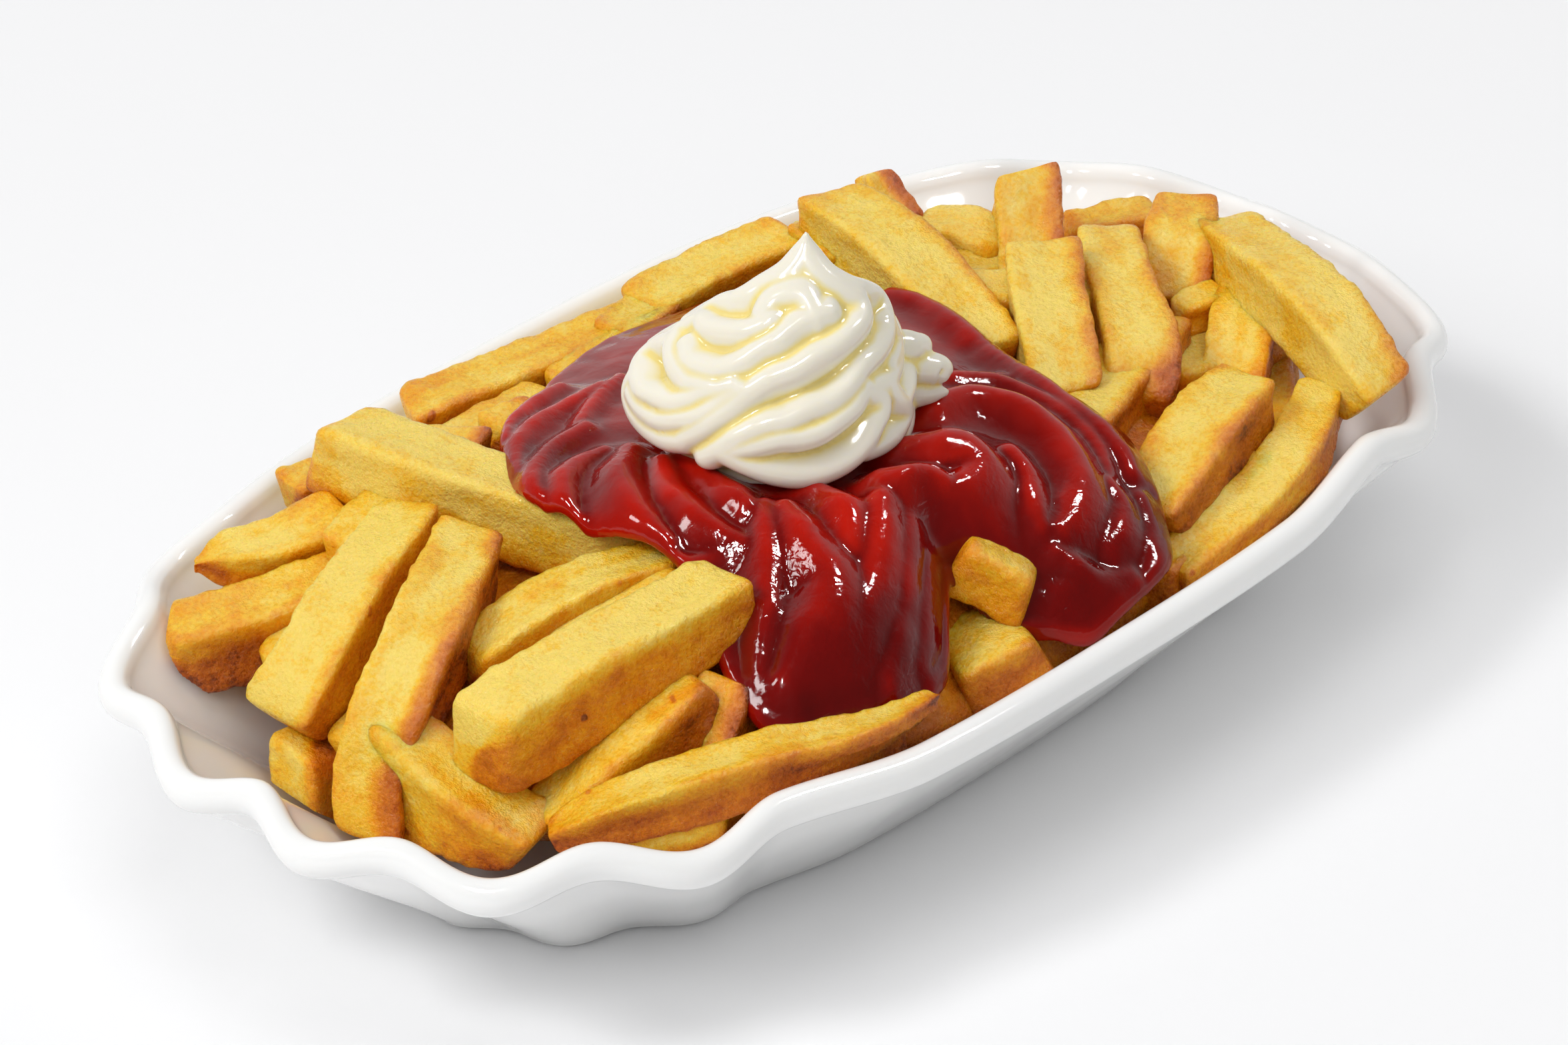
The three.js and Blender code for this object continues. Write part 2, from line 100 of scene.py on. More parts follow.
# Fries that show: roll in degrees and places along the middle line as x, y, z, width and depth
FRIES_SHOWING = (
    (0, ((-51.5, 40, 45, 10, 11), (-49, 25, 44.5, 10.5, 11.5), (-44, 9.5, 43, 10.5, 11.5),
        (-40, -2.5, 42, 10, 10), (-34.5, -8, 41, 7, 6))),
    (0, ((-54, 46, 35, 8, 7.5), (-46, 44.5, 35, 8, 8), (-37.5, 43.5, 35, 8, 8))),
    (6, ((-74, 44.5, 34, 2, 2.5), (-70.5, 42.5, 34, 6.5, 6), (-65, 36.5, 35, 9, 9), (-56, 32.5, 37, 9, 9))),
    (4, ((-86, 38.5, 28, 9, 9.5), (-80.5, 33.5, 29.5, 9.5, 11), (-72, 29, 31, 10, 11),
        (-64.5, 25, 33, 10, 10))),
    (6, ((-56, 20.5, 42, 9.5, 9), (-70, 16, 39.5, 9.5, 9), (-81.5, 12.5, 35, 10, 9),
        (-87.5, 13, 29.5, 11.5, 8))),
    (-4, ((-56.5, 9, 43, 10.5, 10), (-71, 1, 41, 10.5, 11), (-82, -3, 35.5, 10.5, 10),
        (-87.5, -4, 28.5, 10, 9.5), (-89.5, -6, 21, 9.5, 9))),
    (8, ((-83.5, -3.5, 28.5, 9, 17), (-83.5, -10.5, 27.5, 10, 14.5), (-83, -19, 26, 10, 11),
        (-80, -25.5, 24, 9, 7))),
    (0, ((-82.5, -19, 37, 10.5, 12.5), (-69.5, -22, 40.5, 10.5, 12.5), (-56.5, -25, 43.5, 10.5, 11.5),
        (-44, -27, 45.5, 10.5, 10.5))),
    (0, ((-69.5, -5, 36, 8, 9), (-60.5, -7, 39.5, 9.5, 9.5), (-51, -10, 42, 9.5, 9),
        (-43, -13.5, 43, 8, 8))),
    (0, ((-53, -31, 37, 10, 9.5), (-60.5, -30, 34, 11, 10), (-69, -28, 29.5, 10.5, 10),
        (-75.5, -26, 24.5, 9, 9))),
    (0, ((-50, -33, 37, 8, 8), (-56, -35.5, 31, 8, 8))),
    (0, ((-80.5, -30.5, 27.5, 4, 4), (-76, -34, 29.5, 6.5, 6), (-67, -40, 32, 7.5, 7),
        (-56.5, -46, 33.5, 7.5, 7.5), (-44.5, -51.5, 34.5, 6.5, 6), (-32.5, -53, 35.5, 3, 2.5))),
    (0, ((-71.5, -35, 23, 8, 8), (-62, -43, 25.5, 8, 8))),
    (0, ((-9, -37, 41, 10.5, 9), (-3.5, -45, 36, 10.5, 8))),
    (0, ((-15.5, -43, 26, 12, 11), (-5.5, -47.5, 29, 12, 11))),
    (4, ((54, -36, 38, 10.5, 8), (40.5, -38.5, 36.5, 12.5, 8.5), (26.5, -41.5, 32, 11.5, 8))),
    (0, ((66.5, -40, 34, 6.5, 7), (53, -46.5, 33, 8.5, 8), (40.5, -48.5, 30, 8.5, 8),
        (24.5, -48, 26, 8, 8))),
    (0, ((40, -44, 30.5, 6, 6), (46.5, -44, 32.5, 6, 6))),
    (0, ((83, -7, 41, 10.5, 8.5), (76, -24.5, 42.5, 11.5, 9.5), (71.5, -38, 41, 11.5, 10),
        (69.5, -47.5, 36, 10, 8.5))),
    (0, ((74.5, -19, 36, 9, 8), (68.5, -23, 34.5, 10, 9), (62, -27, 31, 10, 9))),
    (0, ((66, -14, 37, 6, 6), (74, -15, 37, 6, 6))),
    (0, ((67, 1.5, 42, 9.5, 9), (58.5, -8.5, 41, 10.5, 10), (51, -18.5, 38, 11.5, 10.5),
        (46, -22.5, 34, 11, 10))),
    (0, ((53, 2, 46, 11, 8.5), (44.5, -7, 43, 11, 9), (35.5, -18, 38, 11, 9))),
    (0, ((68.5, 18, 46, 10.5, 8.5), (64.5, 14, 41, 10.5, 9), (60.5, 10, 35, 10.5, 9))),
    (0, ((57, 29, 38, 7.5, 7), (60, 23.5, 37.5, 9, 8.5), (61.5, 16.5, 36, 9, 9))),
    (0, ((40, 31.5, 48, 11.5, 8), (39, 20.5, 46.5, 11.5, 9.5), (37.5, 9, 43, 11, 9.5),
        (35, -3.5, 39.5, 10, 9))),
    (0, ((56, 37.5, 45, 5, 5), (55, 32, 39, 7, 7))),
    (0, ((38, 35, 43, 8, 8), (37, 26.5, 42, 8, 8))),
    (0, ((-27.5, 49.5, 34, 9, 8), (-17, 47.5, 34.5, 9.5, 8.5), (-4, 43.5, 36, 9.5, 9), (8, 39, 38, 9, 9))),
    (0, ((12, 41, 38, 9, 9), (24.5, 39, 40, 9.5, 9), (37.5, 35, 41.5, 9, 9))),
    (0, ((-31, 29.5, 41, 7, 7), (-24.5, 28.5, 41, 7, 7))),
    (0, ((47, 9, 38, 8, 7), (49, 2.5, 36, 8, 8))),
    (0, ((78, 17, 34, 6, 6), (89, 10, 34, 7, 7))),
    (0, ((83, -0.5, 42, 10.5, 8), (76.5, -5, 40, 11, 9), (72, -8, 35, 11, 9))),
    (0, ((-85.5, 10, 26, 9.5, 9), (-85, 10, 15, 9, 9))),
)

# Lower fries that carry them, and the far side of the heap, in the same terms
FRIES_UNDER = (
    (0, ((-76, 36, 27, 10, 9), (-44, 38, 29, 10, 9))),
    (0, ((-80, 22, 27, 10, 9), (-52, 20, 36, 10, 9))),
    (0, ((-84, 2, 26, 10, 9), (-58, 4, 34, 10, 9))),
    (0, ((-80, -16, 24, 10, 9), (-48, -20, 36, 10, 9))),
    (0, ((-66, -38, 23, 9, 9), (-30, -44, 27, 9, 9))),
    (0, ((20, -46, 25, 9, 9), (54, -40, 26, 9, 9))),
    (0, ((58, -38, 26, 9, 9), (84, -14, 28, 9, 9))),
    (0, ((56, -20, 32, 10, 9), (80, -22, 29, 10, 9))),
    (0, ((70, 4, 33, 10, 9), (88, 0, 27, 10, 9))),
    (0, ((62, 26, 30, 10, 9), (82, 12, 28, 10, 9))),
    (0, ((44, 20, 37, 9, 9), (66, 12, 33, 9, 9))),
    (0, ((30, 47, 28, 9, 9), (62, 36, 32, 9, 9))),
    (0, ((-8, 50, 28, 9, 9), (28, 46, 30, 9, 9))),
    (0, ((-46, 46, 28, 9, 9), (-12, 49, 27, 9, 9))),
    (0, ((2, 38, 38, 9, 9), (30, 45, 36, 9, 9))),
    (0, ((-64, 24, 38, 10, 9), (-38, 30, 42, 10, 9))),
    (0, ((36, 10, 42, 10, 9), (60, -6, 38, 10, 9))),
    (0, ((32, -24, 36, 10, 9), (62, -14, 36, 10, 9))),
    (0, ((-60, -8, 37, 10, 9), (-44, -14, 42, 10, 9))),
    (0, ((-36, 37, 33.5, 10, 9), (-14, 37, 35, 10, 9))),
    (0, ((-10, 36, 35.5, 9, 9), (10, 33, 38, 9, 9))),
    (0, ((32, 40, 34, 9, 9), (50, 42, 33, 9, 9))),
)
# How many of those that show are near ones, and the number that each of the three lists starts at
NEAR_FRIES = 18
NEAR_NUMBER, FAR_NUMBER, UNDER_NUMBER = 0, 50, 100
# The numbers of fries that are fried darker or paler than the others
BROWN_FRIES = (3, 6, 10, 59, 64)
PALE_FRIES = (0, 4, 7, 52, 54)
# The tone of the rest, from pale at 0 to brown at 1
FRY_TONES = (0.1, 0.6)
FRY_SEED = 4

# Rows along and columns round a fry that shows and one that lies under others
FINE_FRY = (66, 56)
PLAIN_FRY = (40, 40)
# Steps between two places along a fry, and those that its section is measured in
FRY_SPAN_STEPS = 24
SECTION_STEPS = 4000
# Rings on its end faces as shares of its section, how far the faces bulge and stand out, and their slant
FACE_RINGS = (0.2, 0.45, 0.68, 0.86, 0.96)
FACE_BULGE = 0.5
FACE_STEP = 0.3
SLANT = 0.3
SLANT_REACH = 5
# Its section: how square it is, how much it narrows at the ends and swells between, and how skewed it is
SECTION_POWERS = (8, 13)
NARROWING = 0.08
NARROWING_REACH = 0.7
SWELL = 0.03
SWELL_WAVES = (3, 8)
SKEW = 0.07
# How far in from its edges the crust there starts
EDGE_POWER = 2.2
EDGE_GAIN = 1.1
# Its uneven surface: how hollow its faces are, how ragged its edges, and bumps as size, height and seed
FACE_HOLLOW = 0.4
EDGE_RAGS = 0.28
EDGE_RAG_SIZE = 1.3
FRY_BUMPS = ((8, 0.3, 1), (3, 0.18, 2), (1.2, 0.14, 3))
# Crust on its edges, its tips and its faces, painted shade on its sides turned from the light, and patches
# as size, strength and seed
EDGE_CRUST = 0.2
TIP_CRUST = 0.25
TIP_REACH = 1.4
FACE_CRUST = 0.2
CRUST_PATCHES = ((7, 0.22, 5), (1.8, 0.12, 8))
CRUST_SPREAD = (0.8, 1.15)
# Pale streaks along it: their strength, width and length
STREAK = 0.6
STREAK_WIDTH = 1.5
STREAK_LENGTH = 8
# Painted shade: the way that the sides turned from the light face, and from where on a side counts as one;
# those sides get a browner colour
PAINTED_SHADE_SIDE = (0.3, -0.8, -0.52)
PAINTED_SHADE_FROM = (-0.15, 0.65)

# Ketchup: edge points round the pour, as angle, distance and height of the top
POUR_CENTRE = (-14, -12)
POUR_TOP = 50.4
POUR_FLAT = 20
POUR_ROLL = 1.6
POUR_SWELL = 0.6
POUR_EDGE = (
    (0, 45, 43), (16, 51, 43.5), (31, 59, 43), (40, 60, 43), (50, 56, 43), (60, 53, 43), (75, 49, 43.5),
    (90, 45, 44.5), (105, 41.5, 46), (122, 41, 47.5), (139, 39.5, 48.5), (153, 38.5, 49), (164, 35, 49),
    (178, 32, 49), (190, 31, 48), (202, 35, 44), (211, 43, 38), (219, 48.5, 34), (232, 46, 33),
    (245, 42, 32.5), (255, 37, 33), (263, 31, 37), (271, 27.5, 39), (277, 30, 37), (282, 38, 33),
    (287, 43, 31.5), (293, 45.5, 31.5), (300, 48, 32), (308, 51, 33.5), (316, 50.5, 36.5), (325, 49.5, 39.5),
    (341, 48, 42),
)
# Spokes and rings of the sheet, steps between two edge points, its first ring and how its slope falls
POUR_SPOKES = 420
POUR_RINGS = 110
POUR_SPAN_STEPS = 24
POUR_FIRST_RING = 0.02
POUR_FALL = 1.3
# Turns of its rolled edge in degrees, its rings underneath, and bumps as size, height and seed
POUR_ROLL_TURNS = (75, -90, 10)
POUR_UNDER = (0.85, 0.5, 0.1)
POUR_BUMPS = ((7, 0.4, 11), (2.6, 0.14, 12))

# Ridges in the ketchup, each as places of its crest with the ridge's half width there
KETCHUP_RIDGES = (
    ((-20, 20, 1.6), (-27, 20, 1.8), (-33, 19.5, 2), (-39, 17, 2), (-43.5, 12.5, 1.8), (-45, 9.5, 1.5)),
    ((-31, 12, 1.6), (-37, 11.5, 2), (-42, 10, 2.4), (-46.5, 7, 2.4), (-48.5, 3.5, 2)),
    ((-34.5, 5, 1.8), (-39.5, 5, 2.4), (-44, 3.5, 2.8), (-47.5, 0, 2.6), (-48.5, -2.5, 2)),
    ((-33, 1.5, 2.6), (-38.5, -2, 3.6), (-42.5, -7, 4), (-44, -12, 3.4), (-44, -16, 2.4)),
    ((-32.5, -4, 2.6), (-37, -9.5, 3.2), (-39, -15.5, 3.4), (-39, -20, 3), (-38, -23.5, 2.4)),
    ((-29.5, -4.5, 2.4), (-31.5, -11.5, 2.8), (-33, -17.5, 3.4), (-33.5, -20, 3)),
    ((-46.5, -10.5, 1.8), (-46, -15, 2.2), (-44.5, -20, 2.2), (-40.5, -22.5, 2), (-38, -25.5, 1.8)),
    ((-21.5, 26.5, 1.6), (-28, 25, 1.8), (-34.5, 23, 1.8), (-38.5, 20, 1.6)),
    ((-16, 20, 1.5), (-24.5, 17, 1.5), (-31, 13.5, 1.2)),
    ((-8.5, -25, 3.2), (-5.5, -28.5, 4), (-2, -31.5, 4.4), (-1, -34.5, 4.2), (-4, -36, 3.6), (-8, -36, 3)),
    ((-16.5, -30, 3.5), (-13.5, -32.5, 4), (-10, -34.5, 3.6), (-8, -36.5, 2.6)),
    ((31, 11, 2.2), (31.5, 4, 2.6), (30, -5, 2.8), (27.5, -15, 2.8), (25.5, -24, 2.8), (25, -31.5, 3),
     (24, -38, 3), (22.5, -41.5, 2.6)),
    ((4.5, -20.5, 2.6), (11, -21.5, 3), (15, -25.5, 3.4), (16, -31.5, 3.6), (14.5, -37.5, 3.8),
     (11.5, -42, 3.8), (7.5, -44.5, 3.6), (4, -45, 3)),
    ((17, -42, 2.4), (16, -45.5, 2.8), (13, -48, 3), (9.5, -49, 2.8)),
    ((6, -33.5, 2.4), (5, -37.5, 2.6), (2.5, -41, 2.8), (1.5, -43, 2.4)),
    ((15.5, -14, 1.8), (20.5, -17.5, 2), (22.5, -23, 2), (23, -29, 2.2), (21.5, -36, 2.2), (18, -41, 2)),
    ((23.5, -16, 1.5), (26.5, -20.5, 1.6), (26.5, -28, 1.6), (26, -34, 1.6)),
    ((20.5, -45, 2.2), (18, -49, 2.4), (15, -52, 2.4), (12, -53, 2.2)),
    ((1, -46.5, 2.4), (2.5, -49, 3), (5, -51.5, 3), (9.5, -52.5, 2.8)),
    ((-3.5, -49.5, 2), (2, -50.5, 2.4), (7.5, -53, 2.4)),
    ((-30.5, -25, 3), (-32.5, -31, 4.2), (-33.5, -36.5, 5.2), (-37, -39.5, 5.6), (-43, -40.5, 5.2),
     (-47.5, -41, 4.4)),
    ((-31.5, -22, 2.4), (-36.5, -27, 3), (-41, -31, 3.4), (-45, -34.5, 3.6), (-48.5, -37, 3.4),
     (-50.5, -40, 2.8)),
    ((-19.5, -33, 3.2), (-23.5, -36.5, 3.8), (-28, -39.5, 4), (-33, -41.5, 4), (-38, -43, 3.6),
     (-43, -43.5, 3.2)),
    ((-16.5, -36, 2.6), (-21, -39, 2.8), (-26, -43, 2.8), (-30.5, -45.5, 2.8), (-34.5, -47.5, 2.4)),
    ((-10.5, -36.5, 2.6), (-14, -38, 2.6), (-18.5, -41, 2.6), (-23, -44, 2.4), (-27.5, -47.5, 2.2)),
    ((-41.5, -28, 2), (-45.5, -30, 2.2), (-48.5, -31.5, 2.2), (-50, -35, 2.4), (-51.5, -39, 2.2)),
    ((-23.5, -23.5, 2.6), (-24.5, -30.5, 3.4), (-27.5, -34.5, 3.4)),
)
RIDGE_RISE = 1.1
RIDGE_SPREAD = 1.1
RIDGE_SPAN_STEPS = 6

# Mayonnaise: a piped swirl; the shape round its crests as radius and height, and how far it leans
SWIRL_FOOT = (-14, -6.5)
SWIRL_TIP = (-12.5, -12)
SWIRL_BASE = 51.5
SWIRL_SHAPE = ((15.5, -4.5), (19, -2.6), (20.5, 4), (19.8, 9), (17.5, 13), (14.8, 17), (12.4, 20), (9, 23),
               (5.6, 25.6), (2.9, 27.8), (1.1, 29.6), (0.3, 30.9))
SWIRL_LEAN = (8, 26)
SWIRL_TOP_LIFT = 0.4
# Its grooves: how deep they are, how far from a crest they are deepest and how their flanks curve
SWIRL_GROOVE = 3.7
SWIRL_FLANK = 3.1
SWIRL_FOLD = 1.7
# How round its crests are, and how wide the swirl is where its grooves have their full depth
SWIRL_CREST_RADIUS = 0.5
SWIRL_FULL_REACH = 11
# Columns round it, and steps between two places of its shape and of a crest
SWIRL_COLUMNS = 380
SWIRL_SPAN_STEPS = 14
# How far its far side is cut in, which way that side is in degrees, and between which heights
SWIRL_FAR_CUT = 2.2
SWIRL_FAR_WAY = 110
SWIRL_FAR_FROM = (3, 9)
SWIRL_FAR_UNTIL = (19, 24)

# Crests of its ridges as places in x, y and z, and crests round the far side as radius and height
SWIRL_CRESTS = (
    ((-20, -5.5, 73), (-20, -1.5, 71.5), (-21.5, -0.5, 70), (-23, -2, 70), (-24.5, -4.5, 70.5),
     (-24.5, -8, 71), (-24, -11, 72), (-22.5, -13, 73), (-21.5, -13.5, 73.5)),
    ((-23, -1, 69.5), (-24, 1.5, 68), (-26, 1, 67), (-28, -1, 66), (-29.5, -3.5, 65.5), (-30.5, -6.5, 65),
     (-30.5, -9.5, 65.5), (-30, -11, 65.5)),
    ((-27, -2.5, 68), (-28.5, -4.5, 67), (-29, -7.5, 67), (-28.5, -10.5, 67.5), (-27, -13, 69),
     (-24.5, -14.5, 70.5), (-22.5, -16, 72), (-19.5, -17, 73.5), (-17, -18.5, 74.5), (-15.5, -19, 74.5)),
    ((-25.5, 2.5, 66.5), (-25, 6, 64.5), (-26.5, 7, 62.5), (-29, 5, 61.5), (-31.5, 2, 61),
     (-32.5, -1.5, 61.5), (-32.5, -5.5, 62), (-32, -8, 63.5), (-31, -9.5, 64.5), (-30, -11.5, 65.5),
     (-29, -13.5, 66.5)),
    ((-34, -8.5, 57.5), (-33, -11.5, 60.5), (-31, -13.5, 63), (-28.5, -15.5, 65.5), (-26, -17.5, 67.5),
     (-23, -19.5, 68.5), (-20, -21, 70), (-16.5, -22, 71), (-13, -22, 72), (-10.5, -21, 72.5),
     (-9.5, -19.5, 73.5), (-10, -18.5, 75)),
    ((-33.5, -12.5, 56), (-32, -15, 58.5), (-31, -17, 60.5), (-28.5, -19, 62), (-26, -21, 62.5),
     (-23, -22.5, 63.5), (-20, -24, 64), (-17, -24.5, 65), (-13.5, -24.5, 67), (-9.5, -23.5, 67.5),
     (-6, -22, 68), (-3.5, -19, 69.5), (-3.5, -17, 71.5), (-8.5, -18, 75), (-11, -17, 76.5)),
    ((-29.5, 5, 61), (-30, 6, 58.5), (-31.5, 3.5, 57), (-33.5, 0, 56.5), (-34.5, -5, 56.5),
     (-34, -8.5, 57.5)),
    ((-31, 4, 59), (-32.5, 0.5, 58.5), (-34, -4, 59), (-34, -7.5, 60.5), (-32.5, -10.5, 62),
     (-30.5, -12.5, 64), (-28.5, -14.5, 66)),
    ((-31.5, -16, 58), (-30, -18.5, 59), (-27.5, -21, 60), (-25, -23, 60), (-22.5, -24.5, 60.5),
     (-19.5, -25, 61.5), (-17, -25.5, 62.5), (-15, -25, 63.5)),
    ((-32.5, -15, 57.5), (-31, -18, 56), (-28.5, -20.5, 54.5), (-25.5, -23, 53.5), (-22, -25, 53.5),
     (-18.5, -26.5, 54.5), (-16, -27, 56), (-13.5, -26.5, 58.5), (-11.5, -26, 60), (-11.5, -25.5, 62),
     (-14, -25, 64)),
    ((-9, -25, 62.5), (-7.5, -25, 60), (-5, -25, 56), (-8, -26, 54.5), (-11.5, -26.5, 54.5),
     (-15, -27, 55)),
    ((-4.5, -20.5, 69), (-3, -20.5, 65.5), (-4.5, -22.5, 64), (-8.5, -24.5, 63), (-12, -25, 63.5)),
    ((-22, -13, 73), (-21, -12, 74), (-19.5, -12, 75.5), (-18, -13.5, 76.5), (-17, -15.5, 76.5),
     (-17, -17, 75.5), (-17.5, -18.5, 74.5)),
    ((-20, -5.5, 73), (-19.5, -7, 74.5), (-18, -8.5, 76), (-16.5, -11, 78), (-14.5, -12, 80),
     (-13, -12.5, 81.5)),
    ((-13, -12.5, 81.5), (-13, -13.5, 80), (-12.5, -15.5, 78), (-11, -17.5, 76.5), (-9.5, -19, 74.5)),
)
SWIRL_FAR_CRESTS = ((20, 2), (19.8, 8.2), (16.5, 14.5))
# Start, end and steps of those far crests in degrees, and half of what they climb
SWIRL_FAR_TURNS = (-20, 158, 160)
SWIRL_FAR_RISE = 1.5
# The strands of its tail as places in x, y, z and radius
SWIRL_TAIL = (
    ((0, -16, 61, 2.4), (2, -17.5, 60.7, 2.4), (4, -18, 60.2, 1.8)),
    ((-0.5, -17, 57.8, 2.5), (2.5, -18.5, 57.5, 2.5), (5, -20.5, 57, 2.2), (5, -21, 56.6, 1.4)),
    ((-1, -17, 54.5, 2.4), (2, -19, 54.2, 2.3), (4, -20.5, 53.9, 1.6), (5.5, -21.5, 53.6, 0.6)),
)

# The tail's strands: columns round them and leans of the rings on their round ends in degrees
STRAND_COLUMNS = 28
STRAND_SPAN_STEPS = 8
STRAND_LEANS = (15, 35, 55, 75)

# Skins of the sauces: cell in millimetres, rounds of softening, and more rounds that tell how hollow it is
KETCHUP_CELL, KETCHUP_SOFTEN = 0.5, 2
MAYONNAISE_CELL, MAYONNAISE_SOFTEN = 0.33, 4
HOLLOW_STEPS = 40

# Camera: where it looks, how far away it is, its turn and tilt in degrees and its lens
CAMERA_TARGET = (5.4, 8.6, 19.9)
CAMERA_DISTANCE = 911.6
CAMERA_TURN = -47.18
CAMERA_TILT = 31.77
CAMERA_LENS = 146.57
CAMERA_SENSOR = 36

# Lights: place to the right, back and up in metres, size, watts, whether it mirrors and whether it lights
LIGHTS = (
    ("window", (-2.3, -1, 2.7), (0.8, 0.8), 34, True, True),
    ("key", (-2.2, -2, 2.7), (2.6, 2.2), 60, False, True),
    ("front_fill", (0.9, -2.6, 2.4), (2.4, 2.4), 29, False, True),
    ("ceiling", (0.4, 0, 3.6), (2.4, 2.4), 33, False, True),
    ("glint", (-0.2, -0.55, 0.85), (0.1, 0.22), 8, True, False),
    ("far_glint", (0.55, 0.1, 0.9), (0.1, 0.3), 8, True, False),
)
LIGHTS_AIM = (0, 0, 0.03)
# Floor half size in metres, and how the white walls round it brighten from near to far
FLOOR_HALF = 6
WALLS_TILT = -0.35
WALLS_BRIGHTEN = (("From Min", -0.4), ("From Max", 0.7), ("To Min", 0.13), ("To Max", 0.75))


# Curves and noise

def smooth(value, low, high):
    """0 below low, 1 above high and an even slope between."""
    t = np.clip((value - low) / (high - low), 0, 1)
    return t * t * (3 - 2 * t)


def curve_through(points, per_span, closed=False):
    """A smooth curve through the points, with per_span steps between each two."""
    p = np.asarray(points, float)
    if closed:
        p = np.vstack([p[-1], p, p[0], p[1]])
    else:
        p = np.vstack([2 * p[0] - p[1], p, 2 * p[-1] - p[-2]])
    t = np.linspace(0, 1, per_span, endpoint=False)[:, None]
    spans = []
    for a, b, c, d in zip(p[:-3], p[1:-2], p[2:-1], p[3:]):
        spans.append(0.5 * (2 * b + (c - a) * t + (2 * a - 5 * b + 4 * c - d) * t ** 2
                            + (3 * b - a - 3 * c + d) * t ** 3))
    if not closed:
        spans.append(p[-2][None])
    return np.vstack(spans)


def noise(points, seed=0):
    """Smooth noise from -1 to 1, with one cell per unit of length."""
    cell = np.floor(points).astype(np.int64)
    inside = points - cell
    inside = inside * inside * (3 - 2 * inside)
    total = np.zeros(points.shape[:-1])
    for corner in np.ndindex(2, 2, 2):
        at = cell + np.array(corner)
        mixed = at[..., 0] * SCATTER_X + at[..., 1] * SCATTER_Y + at[..., 2] * SCATTER_Z
        mixed = mixed + seed * SCATTER_SEED
        mixed = (mixed ^ (mixed >> 13)) * SCATTER_MIX
        value = ((mixed ^ (mixed >> 16)) & 0xFFFF) / 32767.5 - 1
        weight = np.prod(np.where(np.array(corner) == 1, inside, 1 - inside), axis=-1)
        total += weight * value
    return total


# Meshes

def mesh_object(name, points, faces, material, values=None):
    """A smooth object from points in millimetres; values are named numbers kept on its points."""
    mesh = bpy.data.meshes.new(name)
    mesh.from_pydata((np.asarray(points) * MM).tolist(), [], faces)
    mesh.shade_smooth()
    for key, numbers in (values or {}).items():
        kept = mesh.attributes.new(key, "FLOAT", "POINT")
        kept.data.foreach_set("value", np.asarray(numbers, "f").ravel())
    mesh.materials.append(material)
    piece = bpy.data.objects.new(name, mesh)
    bpy.context.collection.objects.link(piece)
    return piece


def grid_faces(rows, columns, first=0):
    """Quads between rows of points that each close on themselves."""
    r, c = np.meshgrid(np.arange(rows - 1), np.arange(columns), indexing="ij")
    across = (c + 1) % columns
    quads = np.stack([r * columns + c, r * columns + across, (r + 1) * columns + across,
                      (r + 1) * columns + c], -1)
    return (quads.reshape(-1, 4) + first).tolist()


def fan_faces(ring_start, columns, centre, turned):
    """Triangles from one ring to a middle point."""
    faces = []
    for c in range(columns):
        pair = (ring_start + c, ring_start + (c + 1) % columns)
        faces.append((pair[0], pair[1], centre) if turned else (pair[1], pair[0], centre))
    return faces


def closed_body(rings, first, last):
    """Points and faces of a closed body from rings, with a middle point before and after them."""
    rows, columns = rings.shape[:2]
    points = np.vstack([rings.reshape(-1, 3), first, last])
    faces = grid_faces(rows, columns)
    faces += fan_faces(0, columns, rows * columns, False)
    faces += fan_faces((rows - 1) * columns, columns, rows * columns + 1, True)
    return points, faces


# Materials

def srgb(red, green, blue):
    """A colour from 0 to 255 as it is seen, as linear numbers."""
    parts = [channel / 255 for channel in (red, green, blue)]
    return (*[part / 12.92 if part < 0.04045 else ((part + 0.055) / 1.055) ** 2.4 for part in parts], 1)


class Nodes:
    """Short hands for building one material."""

    def __init__(self, name):
        self.material = bpy.data.materials.new(name)
        self.material.use_nodes = True
        self.tree = self.material.node_tree
        self.shader = self.tree.nodes["Principled BSDF"]

    def add(self, kind, links=None, **settings):
        node = self.tree.nodes.new(kind)
        for key, value in settings.items():
            setattr(node, key, value)
        for socket, source in (links or {}).items():
            if isinstance(source, bpy.types.NodeSocket):
                self.tree.links.new(source, node.inputs[socket])
            else:
                node.inputs[socket].default_value = source
        return node

    def set(self, **values):
        for key, value in values.items():
            socket = self.shader.inputs[key.replace("_", " ")]
            if isinstance(value, bpy.types.NodeSocket):
                self.tree.links.new(value, socket)
            else:
                socket.default_value = value

    def position(self):
        return self.add("ShaderNodeTexCoord").outputs["Object"]

    def noise(self, scale, detail=2.0, roughness=0.5, distortion=0.0):
        node = self.add("ShaderNodeTexNoise", {"Vector": self.position(), "Scale": scale, "Detail": detail,
                                               "Roughness": roughness, "Distortion": distortion})
        return node.outputs["Fac"]

    def value(self, name):
        return self.add("ShaderNodeAttribute", attribute_name=name).outputs["Fac"]

    def math(self, operation, first, second):
        return self.add("ShaderNodeMath", {0: first, 1: second}, operation=operation).outputs[0]

    def fit(self, value, low, high, to_low=0.0, to_high=1.0):
        node = self.add("ShaderNodeMapRange", {"Value": value, "From Min": low, "From Max": high,
                                               "To Min": to_low, "To Max": to_high})
        return node.outputs[0]

    def ramp(self, value, stops):
        node = self.add("ShaderNodeValToRGB", {"Fac": value})
        band = node.color_ramp.elements
        while len(band) < len(stops):
            band.new(0.5)
        for element, (place, colour) in zip(band, stops):
            element.position = place
            element.color = colour
        return node.outputs["Color"]

    def bump(self, height, strength, distance, normal=None):
        links = {"Height": height, "Strength": strength, "Distance": distance}
        if normal is not None:
            links["Normal"] = normal
        return self.add("ShaderNodeBump", links).outputs["Normal"]


